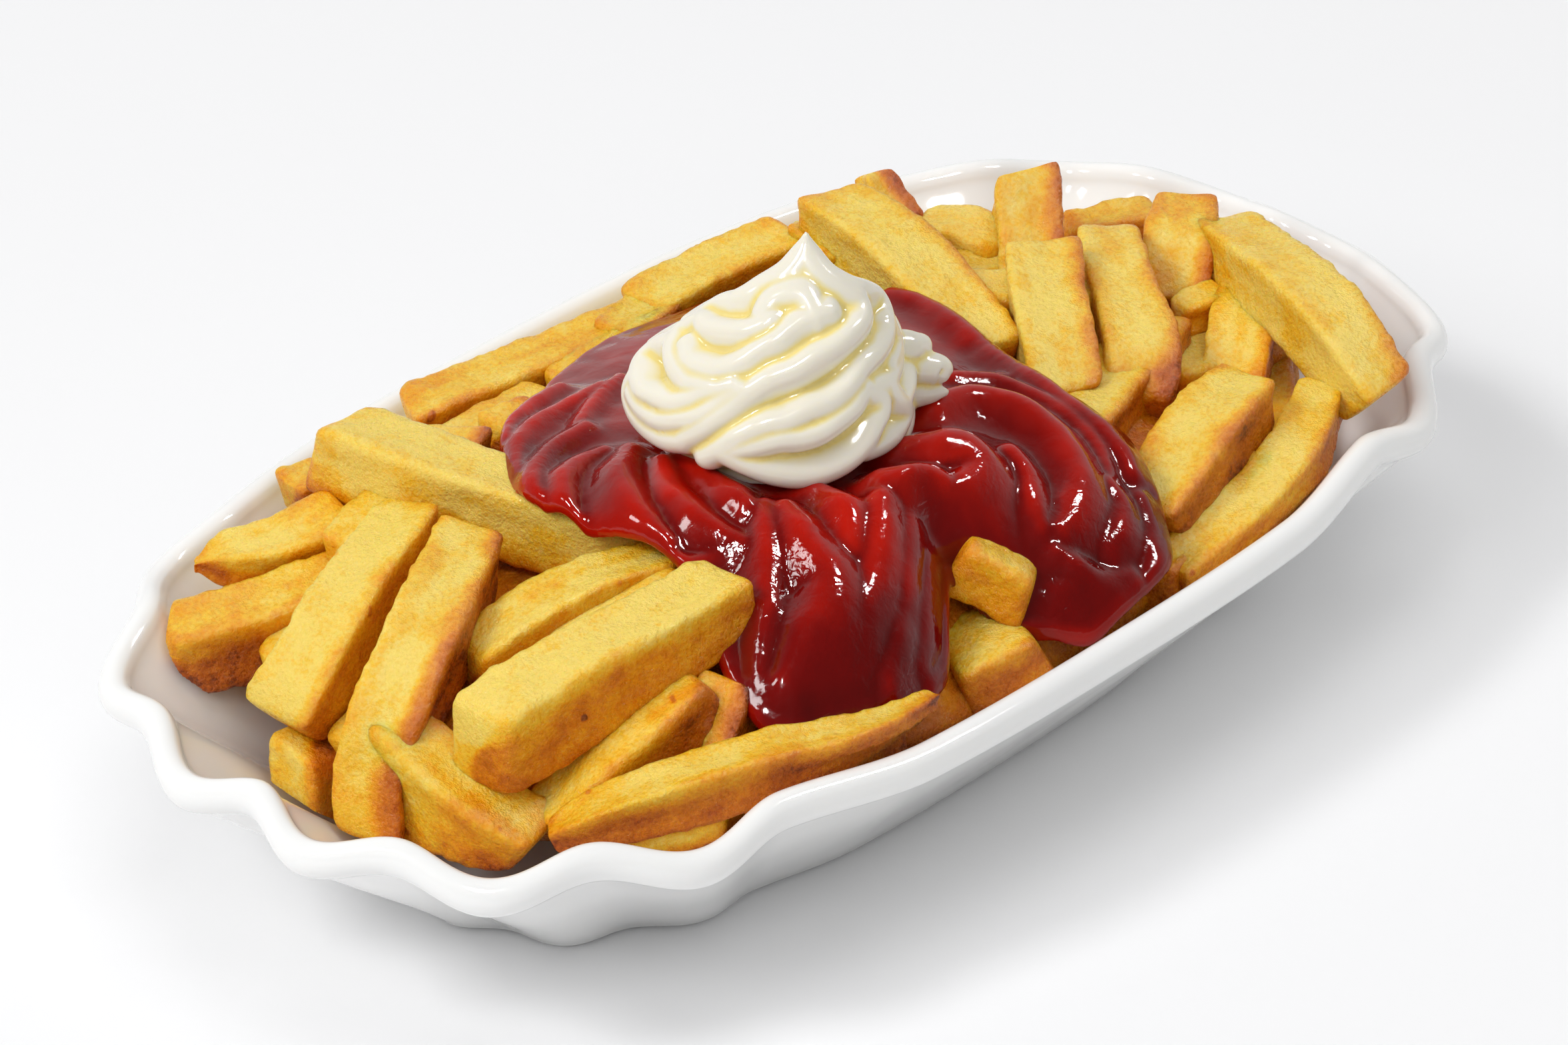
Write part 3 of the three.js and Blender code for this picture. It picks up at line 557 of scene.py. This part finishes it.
def porcelain():
    m = Nodes("porcelain")
    cloud = m.noise(14, 2)
    m.set(Base_Color=m.ramp(cloud, ((0.3, srgb(240, 240, 239)), (0.7, srgb(245, 245, 243)))),
          Roughness=m.fit(m.noise(60, 3), 0.3, 0.7, 0.06, 0.12),
          Subsurface_Weight=0.15, Subsurface_Radius=(1.0, 0.9, 0.8), Subsurface_Scale=0.002,
          Normal=m.bump(m.noise(45, 1), 0.12, 0.0012))
    return m.material


def fried_potato():
    m = Nodes("fried potato")
    broad = m.noise(110, 2, 0.5)
    mottle = m.noise(420, 5, 0.65)
    grain = m.noise(1500, 4, 0.65)
    sugar = m.noise(2600, 2, 0.5)
    # The crust value holds crust and painted shade; more of it gives a browner colour
    shade = m.math("ADD", m.math("MULTIPLY", m.value("crust_and_shade"), 0.72), m.fit(broad, 0.3, 0.7, -0.14, 0.16))
    shade = m.math("ADD", shade, m.fit(mottle, 0.35, 0.65, -0.06, 0.07))
    shade = m.math("ADD", shade, m.fit(grain, 0.4, 0.62, 0.06, -0.07))
    shade = m.math("ADD", shade, m.fit(m.value("streak"), 0, 1, -0.12, 0.1))
    shade = m.math("ADD", shade, m.fit(m.value("tone"), 0, 1, -0.06, 0.22))
    shade = m.math("ADD", shade, m.fit(m.noise(260, 1), 0.76, 0.8, 0.0, 0.35))
    colour = m.ramp(shade, ((0.0, srgb(245, 214, 98)), (0.2, srgb(243, 193, 42)), (0.42, srgb(236, 160, 5)),
                            (0.66, srgb(214, 122, 2)), (0.88, srgb(182, 88, 1)), (1.0, srgb(124, 50, 1))))
    relief = m.bump(mottle, 0.7, 0.0008)
    relief = m.bump(grain, 0.8, 0.0005, relief)
    relief = m.bump(sugar, 0.5, 0.00015, relief)
    m.set(Base_Color=colour, Roughness=m.fit(grain, 0.35, 0.65, 0.2, 0.38),
          Subsurface_Weight=0.4, Subsurface_Radius=(1.0, 0.45, 0.08), Subsurface_Scale=0.0018,
          Specular_IOR_Level=0.42, Normal=relief)
    return m.material


def ketchup_sauce():
    m = Nodes("ketchup")
    pulp = m.noise(900, 4, 0.6)
    height = m.add("ShaderNodeSeparateXYZ", {"Vector": m.position()}).outputs["Z"]
    # Painted shade: the red is darker in the hollows of the skin; it also varies at random and is lighter
    # the higher it lies
    tone_and_shade = m.math("SUBTRACT", m.fit(m.noise(60, 2), 0.3, 0.7, 0.35, 0.75),
                   m.fit(m.value("hollow"), -0.25, 0.25, -0.24, 0.24))
    tone_and_shade = m.math("ADD", tone_and_shade, m.fit(height, 0.038, 0.05, -0.18, 0.12))
    colour = m.ramp(tone_and_shade, ((0.0, srgb(72, 3, 2)), (0.5, srgb(116, 5, 3)), (1.0, srgb(184, 22, 5))))
    relief = m.bump(m.noise(240, 3, 0.5, 0.4), 0.3, 0.0006)
    coarse = m.fit(m.noise(70, 1), 0.45, 0.6, 0.05, 0.5)
    relief = m.bump(m.noise(650, 2, 0.5, 0.5), coarse, 0.00025, relief)
    relief = m.bump(pulp, 0.12, 0.00015, relief)
    m.set(Base_Color=colour, Roughness=m.fit(pulp, 0.35, 0.7, 0.06, 0.14),
          Subsurface_Weight=0.2, Subsurface_Radius=(1.0, 0.06, 0.02), Subsurface_Scale=0.002,
          Specular_IOR_Level=0.38, Normal=relief)
    return m.material


def mayonnaise_cream():
    m = Nodes("mayonnaise")
    # Painted shade: the cream is yellower and a little darker in the hollows of its skin than on its crests
    m.set(Base_Color=m.ramp(m.fit(m.value("hollow"), -0.04, 0.12), ((0.0, srgb(234, 229, 214)),
                                                                    (0.4, srgb(234, 225, 188)),
                                                                    (1.0, srgb(238, 219, 142)))),
          Roughness=m.fit(m.noise(300, 2), 0.3, 0.7, 0.1, 0.18), Specular_IOR_Level=0.55,
          Subsurface_Weight=0.3, Subsurface_Radius=(1.0, 0.8, 0.35), Subsurface_Scale=0.0015,
          Normal=m.bump(m.noise(260, 2), 0.05, 0.0004))
    return m.material


# Tray

def tray_stations(count):
    """Unit outline and scallop wave at even steps along the rim."""
    angle = np.linspace(0, TAU, OUTLINE_STEPS + 1)
    unit_x = np.sign(np.cos(angle)) * np.abs(np.cos(angle)) ** (2 / OUTLINE_POWER)
    unit_y = np.sign(np.sin(angle)) * np.abs(np.sin(angle)) ** (2 / OUTLINE_POWER)
    steps = np.hypot(np.diff(unit_x) * RIM_HALF_LENGTH, np.diff(unit_y) * RIM_HALF_WIDTH)
    walked = np.append(0, np.cumsum(steps))
    length = walked[-1]
    wanted = np.linspace(0, length, count, endpoint=False)
    from_end = np.abs((wanted + length / 4) % (length / 2) - length / 4)
    share = np.clip(from_end / SCALLOP_ARC, 0, 1) ** SCALLOP_STRETCH
    wave = -np.cos(TAU * LOBES_PER_HALF_END * share)
    beyond = -1 + smooth(from_end, SCALLOP_ARC, SCALLOP_FADE * SCALLOP_ARC)
    wave = np.where(from_end > SCALLOP_ARC, beyond, wave)
    return np.interp(wanted, walked, unit_x), np.interp(wanted, walked, unit_y), wave


def tray_loops(profile, stations):
    """Loops round the tray, one for each row of its section."""
    x, y, scallop = stations
    loops = []
    for share, out, z, depth, wave in profile:
        a = BASE_HALF_LENGTH + (RIM_HALF_LENGTH - BASE_HALF_LENGTH) * share
        b = BASE_HALF_WIDTH + (RIM_HALF_WIDTH - BASE_HALF_WIDTH) * share
        step_x, step_y = np.roll(x, -1) - np.roll(x, 1), np.roll(y, -1) - np.roll(y, 1)
        along = np.stack([step_x * a, step_y * b], -1)
        along /= np.linalg.norm(along, axis=-1, keepdims=True)
        offset = out + depth * SCALLOP_DEPTH * scallop
        lift = RIM_BOW * (1 - x ** 2) * (z / RIM_HEIGHT) - wave * SCALLOP_WAVE * scallop
        loops.append(np.stack([x * a + along[:, 1] * offset, y * b - along[:, 0] * offset, z + lift], -1))
    return np.array(loops)


def tray(material):
    profile = curve_through(TRAY_OUTSIDE + TRAY_LIP + TRAY_INSIDE, TRAY_FINENESS)
    loops = tray_loops(profile, tray_stations(TRAY_STATIONS))
    points, faces = closed_body(loops, (0, 0, 0), (0, 0, FLOOR_TOP))
    return mesh_object("porcelain_tray", points, faces, material)


# Fries

def rounded_section(count, power=5.0):
    """Points round a square of half size 1 with rounded corners, evenly spaced."""
    angle = np.linspace(0, TAU, SECTION_STEPS + 1)
    u = np.sign(np.cos(angle)) * np.abs(np.cos(angle)) ** (2 / power)
    v = np.sign(np.sin(angle)) * np.abs(np.sin(angle)) ** (2 / power)
    walked = np.append(0, np.cumsum(np.hypot(np.diff(u), np.diff(v))))
    wanted = np.linspace(0, walked[-1], count, endpoint=False)
    return np.interp(wanted, walked, u), np.interp(wanted, walked, v)


def inside_tray(points):
    """The points, with those that would cross the tray's wall drawn in to just inside it."""
    share = np.interp(points[..., 2], WALL_HEIGHTS, WALL_SHARES)
    length = BASE_HALF_LENGTH + (RIM_HALF_LENGTH - BASE_HALF_LENGTH) * share - WALL - SCALLOP_DEPTH
    width = BASE_HALF_WIDTH + (RIM_HALF_WIDTH - BASE_HALF_WIDTH) * share - WALL - SIDE_ROOM
    reach = (np.abs(points[..., 0] / length) ** OUTLINE_POWER
             + np.abs(points[..., 1] / width) ** OUTLINE_POWER) ** (1 / OUTLINE_POWER)
    pull = np.where(points[..., 2] < RIM_HEIGHT + OVER_RIM, np.minimum(1, 1 / np.maximum(reach, 1e-6)), 1)
    drawn = points.copy()
    drawn[..., :2] *= pull[..., None]
    return drawn


def fry(roll, places, number, rows, columns):
    """Points, faces and three surface values of one fry."""
    chance = np.random.default_rng(FRY_SEED + number)
    tone = chance.uniform(*FRY_TONES)
    if number in BROWN_FRIES:
        tone = 1.0
    elif number in PALE_FRIES:
        tone = 0.0
    way = curve_through(places, FRY_SPAN_STEPS)
    walked = np.append(0, np.cumsum(np.linalg.norm(np.diff(way[:, :3], axis=0), axis=-1)))
    length = walked[-1]

    # Rows run from the middle of one end face over its edge, along the fry and back into the other face
    face = np.array(FACE_RINGS)
    cap = FACE_BULGE * face ** 6
    place = length * (1 - np.cos(np.linspace(0, np.pi, rows))) / 2
    row_at = np.concatenate([np.zeros(len(face)), place, np.full(len(face), length)])
    row_size = np.concatenate([face, np.ones(rows), face[::-1]])
    push = cap[-1] + FACE_STEP - cap
    row_push = np.concatenate([-push, np.zeros(rows), push[::-1]])
    edge_in = np.minimum(row_at, length - row_at)
    centre = np.stack([np.interp(row_at, walked, way[:, axis]) for axis in range(3)], -1)
    width = np.interp(row_at, walked, way[:, 3]) / 2
    depth = np.interp(row_at, walked, way[:, 4]) / 2
    forward = np.gradient(way[:, :3], walked, axis=0)
    along = np.stack([np.interp(row_at, walked, forward[:, axis]) for axis in range(3)], -1)
    along /= np.linalg.norm(along, axis=-1, keepdims=True)
    heading = way[-1, :3] - way[0, :3]
    flat = np.cross((0, 0, 1.0), heading)
    side = flat - along * (along @ flat)[:, None]
    side /= np.linalg.norm(side, axis=-1, keepdims=True)
    top = np.cross(along, side)
    turn = math.radians(roll)
    side, top = side * math.cos(turn) + top * math.sin(turn), top * math.cos(turn) - side * math.sin(turn)

    # Section: nearly square, with round edges, a little skewed and fuller on one side
    u, v = rounded_section(columns, chance.uniform(*SECTION_POWERS))
    narrowing = 1 - NARROWING * np.exp(-edge_in / NARROWING_REACH)
    swell = 1 + SWELL * np.sin(row_at / length * chance.uniform(*SWELL_WAVES) + chance.uniform(0, 6))
    size = (row_size * narrowing * swell)[:, None]
    spread_u = size * u * (1 + SKEW * chance.uniform(-1, 1) * v) * width[:, None]
    spread_v = size * v * (1 + SKEW * chance.uniform(-1, 1) * u) * depth[:, None]
    cut = chance.uniform(-SLANT, SLANT, 4)
    near_start = np.exp(-row_at / SLANT_REACH)[:, None]
    near_end = np.exp(-(length - row_at) / SLANT_REACH)[:, None]
    slant = (near_start * cut[0] + near_end * cut[1]) * spread_u \
        + (near_start * cut[2] + near_end * cut[3]) * spread_v
    rings = centre[:, None] + side[:, None] * spread_u[..., None] + top[:, None] * spread_v[..., None] \
        + along[:, None] * (slant + row_push[:, None])[..., None]

    # Hollow faces, dents and a ragged crust on the edges
    corner = np.clip((np.abs(u) * np.abs(v)) ** EDGE_POWER * EDGE_GAIN, 0, 1)[None] * row_size[:, None] ** 4
    outward = side[:, None] * (u[None] * np.ones_like(size))[..., None] \
        + top[:, None] * (v[None] * np.ones_like(size))[..., None]
    outward /= np.linalg.norm(outward, axis=-1, keepdims=True)
    shift = chance.uniform(-50, 50, 3)
    relief = EDGE_RAGS * corner * noise(rings / EDGE_RAG_SIZE, 4) - FACE_HOLLOW * (1 - corner)
    for bump, height, seed in FRY_BUMPS:
        relief += height * noise((rings + shift) / bump, seed)
    rings = rings + outward * (relief * np.clip(row_size, 0.1, 1)[:, None] ** 2)[..., None]
    rings = inside_tray(rings)
    tip = np.exp(-edge_in / TIP_REACH)
    # Painted shade: sides that face away from the light are made browner
    painted_shade_side = smooth(outward @ PAINTED_SHADE_SIDE, *PAINTED_SHADE_FROM)
    face_tone = noise(np.stack([u * 0.9 + shift[0], v * 0.9 + shift[1], 0 * u + shift[2]], -1), 7)
    # The crust value holds real crust on edges, tips, faces and patches, and the painted shade of the sides
    # turned from the light
    crust_and_shade = EDGE_CRUST * corner + TIP_CRUST * tip[:, None] + painted_shade_side + FACE_CRUST * face_tone[None]
    for patch, strength, seed in CRUST_PATCHES:
        crust_and_shade += strength * noise((rings + shift) / patch, seed)
    crust_and_shade = np.clip(crust_and_shade * chance.uniform(*CRUST_SPREAD), 0, 1)
    lengthwise = (row_at[:, None] + 0 * spread_u) / STREAK_LENGTH
    local = np.stack([spread_u / STREAK_WIDTH, spread_v / STREAK_WIDTH, lengthwise], -1)
    streak = np.clip(0.5 + STREAK * noise(local + shift, 6), 0, 1)

    first = rings[0].mean(axis=0)
    last = rings[-1].mean(axis=0)
    points, faces = closed_body(rings[:, ::-1], first, last)
    ends = (0.5, 0.5)
    return points, faces, (np.append(crust_and_shade[:, ::-1], ends), np.append(streak[:, ::-1], ends),
                           np.full(len(points), tone))


def fries_piece(name, fries, number, detail, material):
    """All the fries of a list, joined into one piece."""
    points, faces, surfaces = [], [], []
    count = 0
    for index, (roll, places) in enumerate(fries):
        body, body_faces, surface = fry(roll, places, number + index, *detail)
        points.append(body)
        faces += [tuple(corner + count for corner in face) for face in body_faces]
        surfaces.append(surface)
        count += len(body)
    crust_and_shade, streak, tone = (np.concatenate(column) for column in zip(*surfaces))
    values = {"crust_and_shade": crust_and_shade, "streak": streak, "tone": tone}
    return mesh_object(name, np.vstack(points), faces, material, values)


def mound(material):
    """The body of the heap below the fries that show."""
    profile = curve_through(MOUND_PROFILE, MOUND_FINENESS)
    angle = np.linspace(0, TAU, MOUND_SIDES, endpoint=False)
    rings = []
    for reach, z in profile:
        above = max(0, z - MOUND_LEAN_FROM)
        x = reach * MOUND_HALF_LENGTH * np.cos(angle) + MOUND_LEAN[0] * above
        y = reach * MOUND_HALF_WIDTH * np.sin(angle) + MOUND_LEAN[1] * above
        rings.append(np.stack([x, y, np.full_like(angle, z)], -1))
    rings = np.array(rings)
    bumps = noise(rings / MOUND_BUMP_SIZE, 9) * smooth(rings[..., 2], *MOUND_BUMPS_FROM)
    rings[..., 2] += MOUND_BUMP * bumps
    points, faces = closed_body(rings, rings[0].mean(axis=0), rings[-1].mean(axis=0))
    # Painted shade: one browner tone all over, so that the gaps between the fries look dark
    crust_and_shade = np.full(len(points), MOUND_PAINTED_SHADE)
    values = {"crust_and_shade": crust_and_shade, "streak": crust_and_shade, "tone": crust_and_shade}
    return mesh_object("fries_core", points, faces, material, values)


# Sauces

def strand(places):
    """Points and faces of a round strand with round ends through places of x, y, z and radius."""
    rows = curve_through(places, STRAND_SPAN_STEPS)
    path, radius = rows[:, :3], rows[:, 3]
    along = np.gradient(path, axis=0)
    along /= np.linalg.norm(along, axis=-1, keepdims=True)
    side = np.cross(along[0], (0.3, 0.5, 0.8))
    angle = np.linspace(0, TAU, STRAND_COLUMNS, endpoint=False)
    ends = np.radians(STRAND_LEANS)
    rings = []
    for step, (centre, forward, size) in enumerate(zip(path, along, radius)):
        side = side - forward * (side @ forward)
        side /= np.linalg.norm(side)
        up = np.cross(forward, side)
        circle = np.outer(np.cos(angle), side) + np.outer(np.sin(angle), up)
        leans = (0,)
        if step == 0:
            leans = -ends[::-1]
        elif step == len(path) - 1:
            leans = ends
        for lean in leans:
            rings.append(centre + forward * size * math.sin(lean) + circle * size * math.cos(lean))
    first, last = path[0] - along[0] * radius[0], path[-1] + along[-1] * radius[-1]
    return closed_body(np.array(rings)[:, ::-1], first, last)


def fused(name, bodies, cell, soften, material):
    """One smooth skin round bodies that cross, with its hollows kept as a value in millimetres."""
    points, faces = [], []
    count = 0
    for body, body_faces in bodies:
        points.append(body)
        faces += [tuple(corner + count for corner in face) for face in body_faces]
        count += len(body)
    piece = mesh_object(name, np.vstack(points), faces, material)
    fuse = piece.modifiers.new("fuse", "REMESH")
    fuse.mode = "VOXEL"
    fuse.voxel_size = cell * MM
    fuse.use_smooth_shade = True
    relax = piece.modifiers.new("relax", "SMOOTH")
    relax.factor = 0.5
    relax.iterations = soften
    skin = bpy.data.meshes.new_from_object(piece.evaluated_get(bpy.context.evaluated_depsgraph_get()))
    relax.iterations = soften + HOLLOW_STEPS
    soft = bpy.data.meshes.new_from_object(piece.evaluated_get(bpy.context.evaluated_depsgraph_get()))
    count = len(skin.vertices)
    sharp_at, soft_at, outward = np.empty(count * 3), np.empty(count * 3), np.empty(count * 3)
    skin.vertices.foreach_get("co", sharp_at)
    soft.vertices.foreach_get("co", soft_at)
    skin.vertices.foreach_get("normal", outward)
    hollow = ((soft_at - sharp_at) * outward).reshape(-1, 3).sum(axis=1) / MM
    skin.attributes.new("hollow", "FLOAT", "POINT").data.foreach_set("value", hollow.astype("f"))
    bpy.data.meshes.remove(soft)
    piece.modifiers.clear()
    piece.data = skin
    skin.shade_smooth()
    return piece


def pour_lift(points):
    """How much higher the ketchup is at points in x and y for its ridges and lumps."""
    lift = np.zeros(points.shape[:-1])
    for places in KETCHUP_RIDGES:
        way = curve_through(places, RIDGE_SPAN_STEPS)
        apart = ((points[..., None, :] - way[:, :2]) ** 2).sum(axis=-1)
        nearest = apart.argmin(axis=-1)
        half = way[nearest, 2]
        apart = np.take_along_axis(apart, nearest[..., None], -1)[..., 0]
        lift = np.maximum(lift, RIDGE_RISE * half * np.exp(-apart / (RIDGE_SPREAD * half) ** 2))
    level = np.concatenate([points, np.zeros_like(points[..., :1])], -1)
    for bump, height, seed in POUR_BUMPS:
        lift += height * noise(level / bump, seed)
    return lift


def pour_sheet():
    """Points and faces of the sheet of ketchup."""
    angles = np.array([row[0] for row in POUR_EDGE], float)
    around = curve_through([(row[1], row[2]) for row in POUR_EDGE], POUR_SPAN_STEPS, closed=True)
    spread = np.append(angles, 360)
    degrees = np.concatenate([np.linspace(a, b, POUR_SPAN_STEPS, endpoint=False)
                              for a, b in zip(spread[:-1], spread[1:])])
    spoke = np.linspace(0, 360, POUR_SPOKES, endpoint=False)
    reach = np.interp(spoke, np.append(degrees, 360), np.append(around[:, 0], around[0, 0])) + POUR_SWELL
    edge_z = np.interp(spoke, np.append(degrees, 360), np.append(around[:, 1], around[0, 1]))
    ray = np.stack([np.cos(np.radians(spoke)), np.sin(np.radians(spoke))], -1)
    inner = reach - POUR_ROLL
    share = np.linspace(POUR_FIRST_RING, 1, POUR_RINGS)[:, None]
    distance = share * inner
    beyond = np.clip((distance - POUR_FLAT) / np.maximum(inner - POUR_FLAT, 1), 0, 1)
    z = POUR_TOP - (POUR_TOP - edge_z) * beyond ** POUR_FALL
    top = np.concatenate([POUR_CENTRE + distance[..., None] * ray, z[..., None]], -1)
    rolls = []
    for lean in np.radians(np.linspace(*POUR_ROLL_TURNS)):
        out = inner + POUR_ROLL * math.cos(lean)
        drop = edge_z - POUR_ROLL + POUR_ROLL * math.sin(lean)
        rolls.append(np.concatenate([POUR_CENTRE + out[:, None] * ray, drop[:, None]], -1))
    under = []
    for part in POUR_UNDER:
        ring = int(part * (POUR_RINGS - 1))
        under.append(np.concatenate([top[ring, :, :2], z[ring][:, None] - 2 * POUR_ROLL], -1))
    rings = np.concatenate([top, rolls, under])
    for ring in rings:
        ring[:, 2] += pour_lift(ring[:, :2])
    rings = inside_tray(rings)
    centre = np.array([*POUR_CENTRE, rings[0, :, 2].mean()])
    return closed_body(rings[:, ::-1], centre, centre - (0, 0, 2 * POUR_ROLL))


def ketchup(material):
    return fused("ketchup_pour", [pour_sheet()], KETCHUP_CELL, KETCHUP_SOFTEN, material)


def swirl():
    """Points and faces of the swirl, hollowed between its crests."""
    profile = curve_through(SWIRL_SHAPE, SWIRL_SPAN_STEPS)
    reach, height = profile[:, 0], profile[:, 1]
    slope = np.gradient(profile, axis=0)
    slope /= np.linalg.norm(slope, axis=-1, keepdims=True)
    lean = smooth(height, *SWIRL_LEAN)[:, None]
    middle = np.array(SWIRL_FOOT) * (1 - lean) + np.array(SWIRL_TIP) * lean
    angle = np.linspace(0, TAU, SWIRL_COLUMNS, endpoint=False)
    ray = np.stack([np.cos(angle), np.sin(angle)], -1)
    far_way = math.radians(CAMERA_TURN + SWIRL_FAR_WAY)
    far_cut = SWIRL_FAR_CUT * smooth(ray @ (math.cos(far_way), math.sin(far_way)), 0.1, 0.9)

    crests = [curve_through(places, SWIRL_SPAN_STEPS) for places in SWIRL_CRESTS]
    turns = np.radians(np.linspace(*SWIRL_FAR_TURNS) + CAMERA_TURN)
    for radius, rise in SWIRL_FAR_CRESTS:
        row = np.interp(rise, height, np.arange(len(height)))
        centre = middle[int(row)]
        low, high = SWIRL_BASE + rise - SWIRL_FAR_RISE, SWIRL_BASE + rise + SWIRL_FAR_RISE
        climb = np.linspace(low, high, len(turns))
        circle = [centre[0] + radius * np.cos(turns), centre[1] + radius * np.sin(turns)]
        crests.append(np.stack([*circle, climb], -1))
    crests = np.concatenate(crests)

    far_height = smooth(height, *SWIRL_FAR_FROM) * (1 - smooth(height, *SWIRL_FAR_UNTIL))
    rings = []
    for step in range(len(profile)):
        level = np.full(SWIRL_COLUMNS, SWIRL_BASE + height[step])
        ring = np.column_stack([middle[step] + reach[step] * ray, level])
        apart = ((ring[:, None] - crests) ** 2).sum(axis=-1).min(axis=-1)
        away = np.sqrt(apart + SWIRL_CREST_RADIUS ** 2) - SWIRL_CREST_RADIUS
        flank = np.clip(away / SWIRL_FLANK, 0, 1)
        depth = SWIRL_GROOVE * flank ** SWIRL_FOLD + far_cut * far_height[step]
        depth *= min(1, reach[step] / SWIRL_FULL_REACH)
        outward = np.column_stack([ray * slope[step, 1], np.full(SWIRL_COLUMNS, -slope[step, 0])])
        rings.append(ring - outward * depth[:, None])
    rings = np.array(rings)
    return closed_body(rings, rings[0].mean(axis=0), rings[-1].mean(axis=0) + (0, 0, SWIRL_TOP_LIFT))


def mayonnaise(material):
    bodies = [swirl()] + [strand(places) for places in SWIRL_TAIL]
    return fused("mayonnaise_swirl", bodies, MAYONNAISE_CELL, MAYONNAISE_SOFTEN, material)


# Stage

def stage():
    m = Nodes("studio floor")
    m.set(Base_Color=srgb(243, 243, 244), Roughness=0.7, Specular_IOR_Level=0.2)
    mesh = bpy.data.meshes.new("floor")
    corners = [(-1, -1), (1, -1), (1, 1), (-1, 1)]
    mesh.from_pydata([(x * FLOOR_HALF, y * FLOOR_HALF, 0) for x, y in corners], [], [(0, 1, 2, 3)])
    mesh.materials.append(m.material)
    floor = bpy.data.objects.new("floor", mesh)
    bpy.context.collection.objects.link(floor)
    surround()


def surround():
    """White walls round the table: bright behind the food, darker overhead and on the near side."""
    world = bpy.data.worlds.new("studio")
    world.use_nodes = True
    tree = world.node_tree
    turn = math.radians(CAMERA_TURN)
    across = tree.nodes.new("ShaderNodeVectorMath")
    across.operation = "DOT_PRODUCT"
    across.inputs[1].default_value = (-math.sin(turn), math.cos(turn), WALLS_TILT)
    tree.links.new(tree.nodes.new("ShaderNodeTexCoord").outputs["Generated"], across.inputs[0])
    strength = tree.nodes.new("ShaderNodeMapRange")
    strength.interpolation_type = "SMOOTHSTEP"
    for socket, value in WALLS_BRIGHTEN:
        strength.inputs[socket].default_value = value
    tree.links.new(across.outputs["Value"], strength.inputs["Value"])
    tree.links.new(strength.outputs[0], tree.nodes["Background"].inputs["Strength"])
    tree.nodes["Background"].inputs["Color"].default_value = (1, 1, 1, 1)
    bpy.context.scene.world = world


def area_light(name, place, size, power, mirrored, lighting):
    """A soft light at a place in metres that faces the food."""
    data = bpy.data.lights.new(name, "AREA")
    data.shape = "RECTANGLE"
    data.size, data.size_y = size
    data.energy = power
    lamp = bpy.data.objects.new(name, data)
    lamp.visible_glossy = mirrored
    lamp.visible_diffuse = lighting
    lamp.location = place
    aim = Vector(LIGHTS_AIM) - lamp.location
    lamp.rotation_euler = aim.to_track_quat("-Z", "Y").to_euler()
    bpy.context.collection.objects.link(lamp)


def lights():
    turn = math.radians(CAMERA_TURN)
    right = Vector((math.cos(turn), math.sin(turn), 0))
    back = Vector((-right.y, right.x, 0))
    up = Vector((0, 0, 1))
    for name, (rightward, backward, upward), *kind in LIGHTS:
        area_light(name, right * rightward + back * backward + up * upward, *kind)


def camera():
    data = bpy.data.cameras.new("camera")
    data.lens = CAMERA_LENS
    data.sensor_width = CAMERA_SENSOR
    data.clip_start = 0.01
    turn, tilt = math.radians(CAMERA_TURN), math.radians(CAMERA_TILT)
    back = Vector((math.sin(turn) * math.cos(tilt), -math.cos(turn) * math.cos(tilt), math.sin(tilt)))
    eye = bpy.data.objects.new("camera", data)
    eye.location = (Vector(CAMERA_TARGET) + back * CAMERA_DISTANCE) * MM
    eye.rotation_euler = (-back).to_track_quat("-Z", "Y").to_euler()
    bpy.context.collection.objects.link(eye)
    bpy.context.scene.camera = eye


def show(piece, slot, *nodes):
    """Ties a piece to the root part and hides the solids that it stands for."""
    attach(piece, "root")
    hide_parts(*nodes)


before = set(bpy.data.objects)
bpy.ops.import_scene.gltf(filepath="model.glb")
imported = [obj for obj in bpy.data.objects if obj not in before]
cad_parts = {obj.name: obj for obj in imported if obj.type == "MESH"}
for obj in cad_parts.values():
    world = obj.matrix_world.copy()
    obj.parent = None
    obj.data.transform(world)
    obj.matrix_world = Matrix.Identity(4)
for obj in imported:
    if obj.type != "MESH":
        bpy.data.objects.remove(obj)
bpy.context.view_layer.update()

white = porcelain()
potato = fried_potato()
sauce = ketchup_sauce()
cream = mayonnaise_cream()
show(tray(white), "porcelain", "tray")
show(mound(potato), "fries", "fries")
near_fries, far_fries = FRIES_SHOWING[:NEAR_FRIES], FRIES_SHOWING[NEAR_FRIES:]
show(fries_piece("fries_near", near_fries, NEAR_NUMBER, FINE_FRY, potato), "fries", "fries")
show(fries_piece("fries_far", far_fries, FAR_NUMBER, FINE_FRY, potato), "fries", "fries")
show(fries_piece("fries_under", FRIES_UNDER, UNDER_NUMBER, PLAIN_FRY, potato), "fries", "fries")
show(ketchup(sauce), "ketchup", "ketchup")
show(mayonnaise(cream), "mayonnaise", "mayonnaise")

stage()
lights()
camera()
bpy.context.scene.view_settings.view_transform = "Standard"
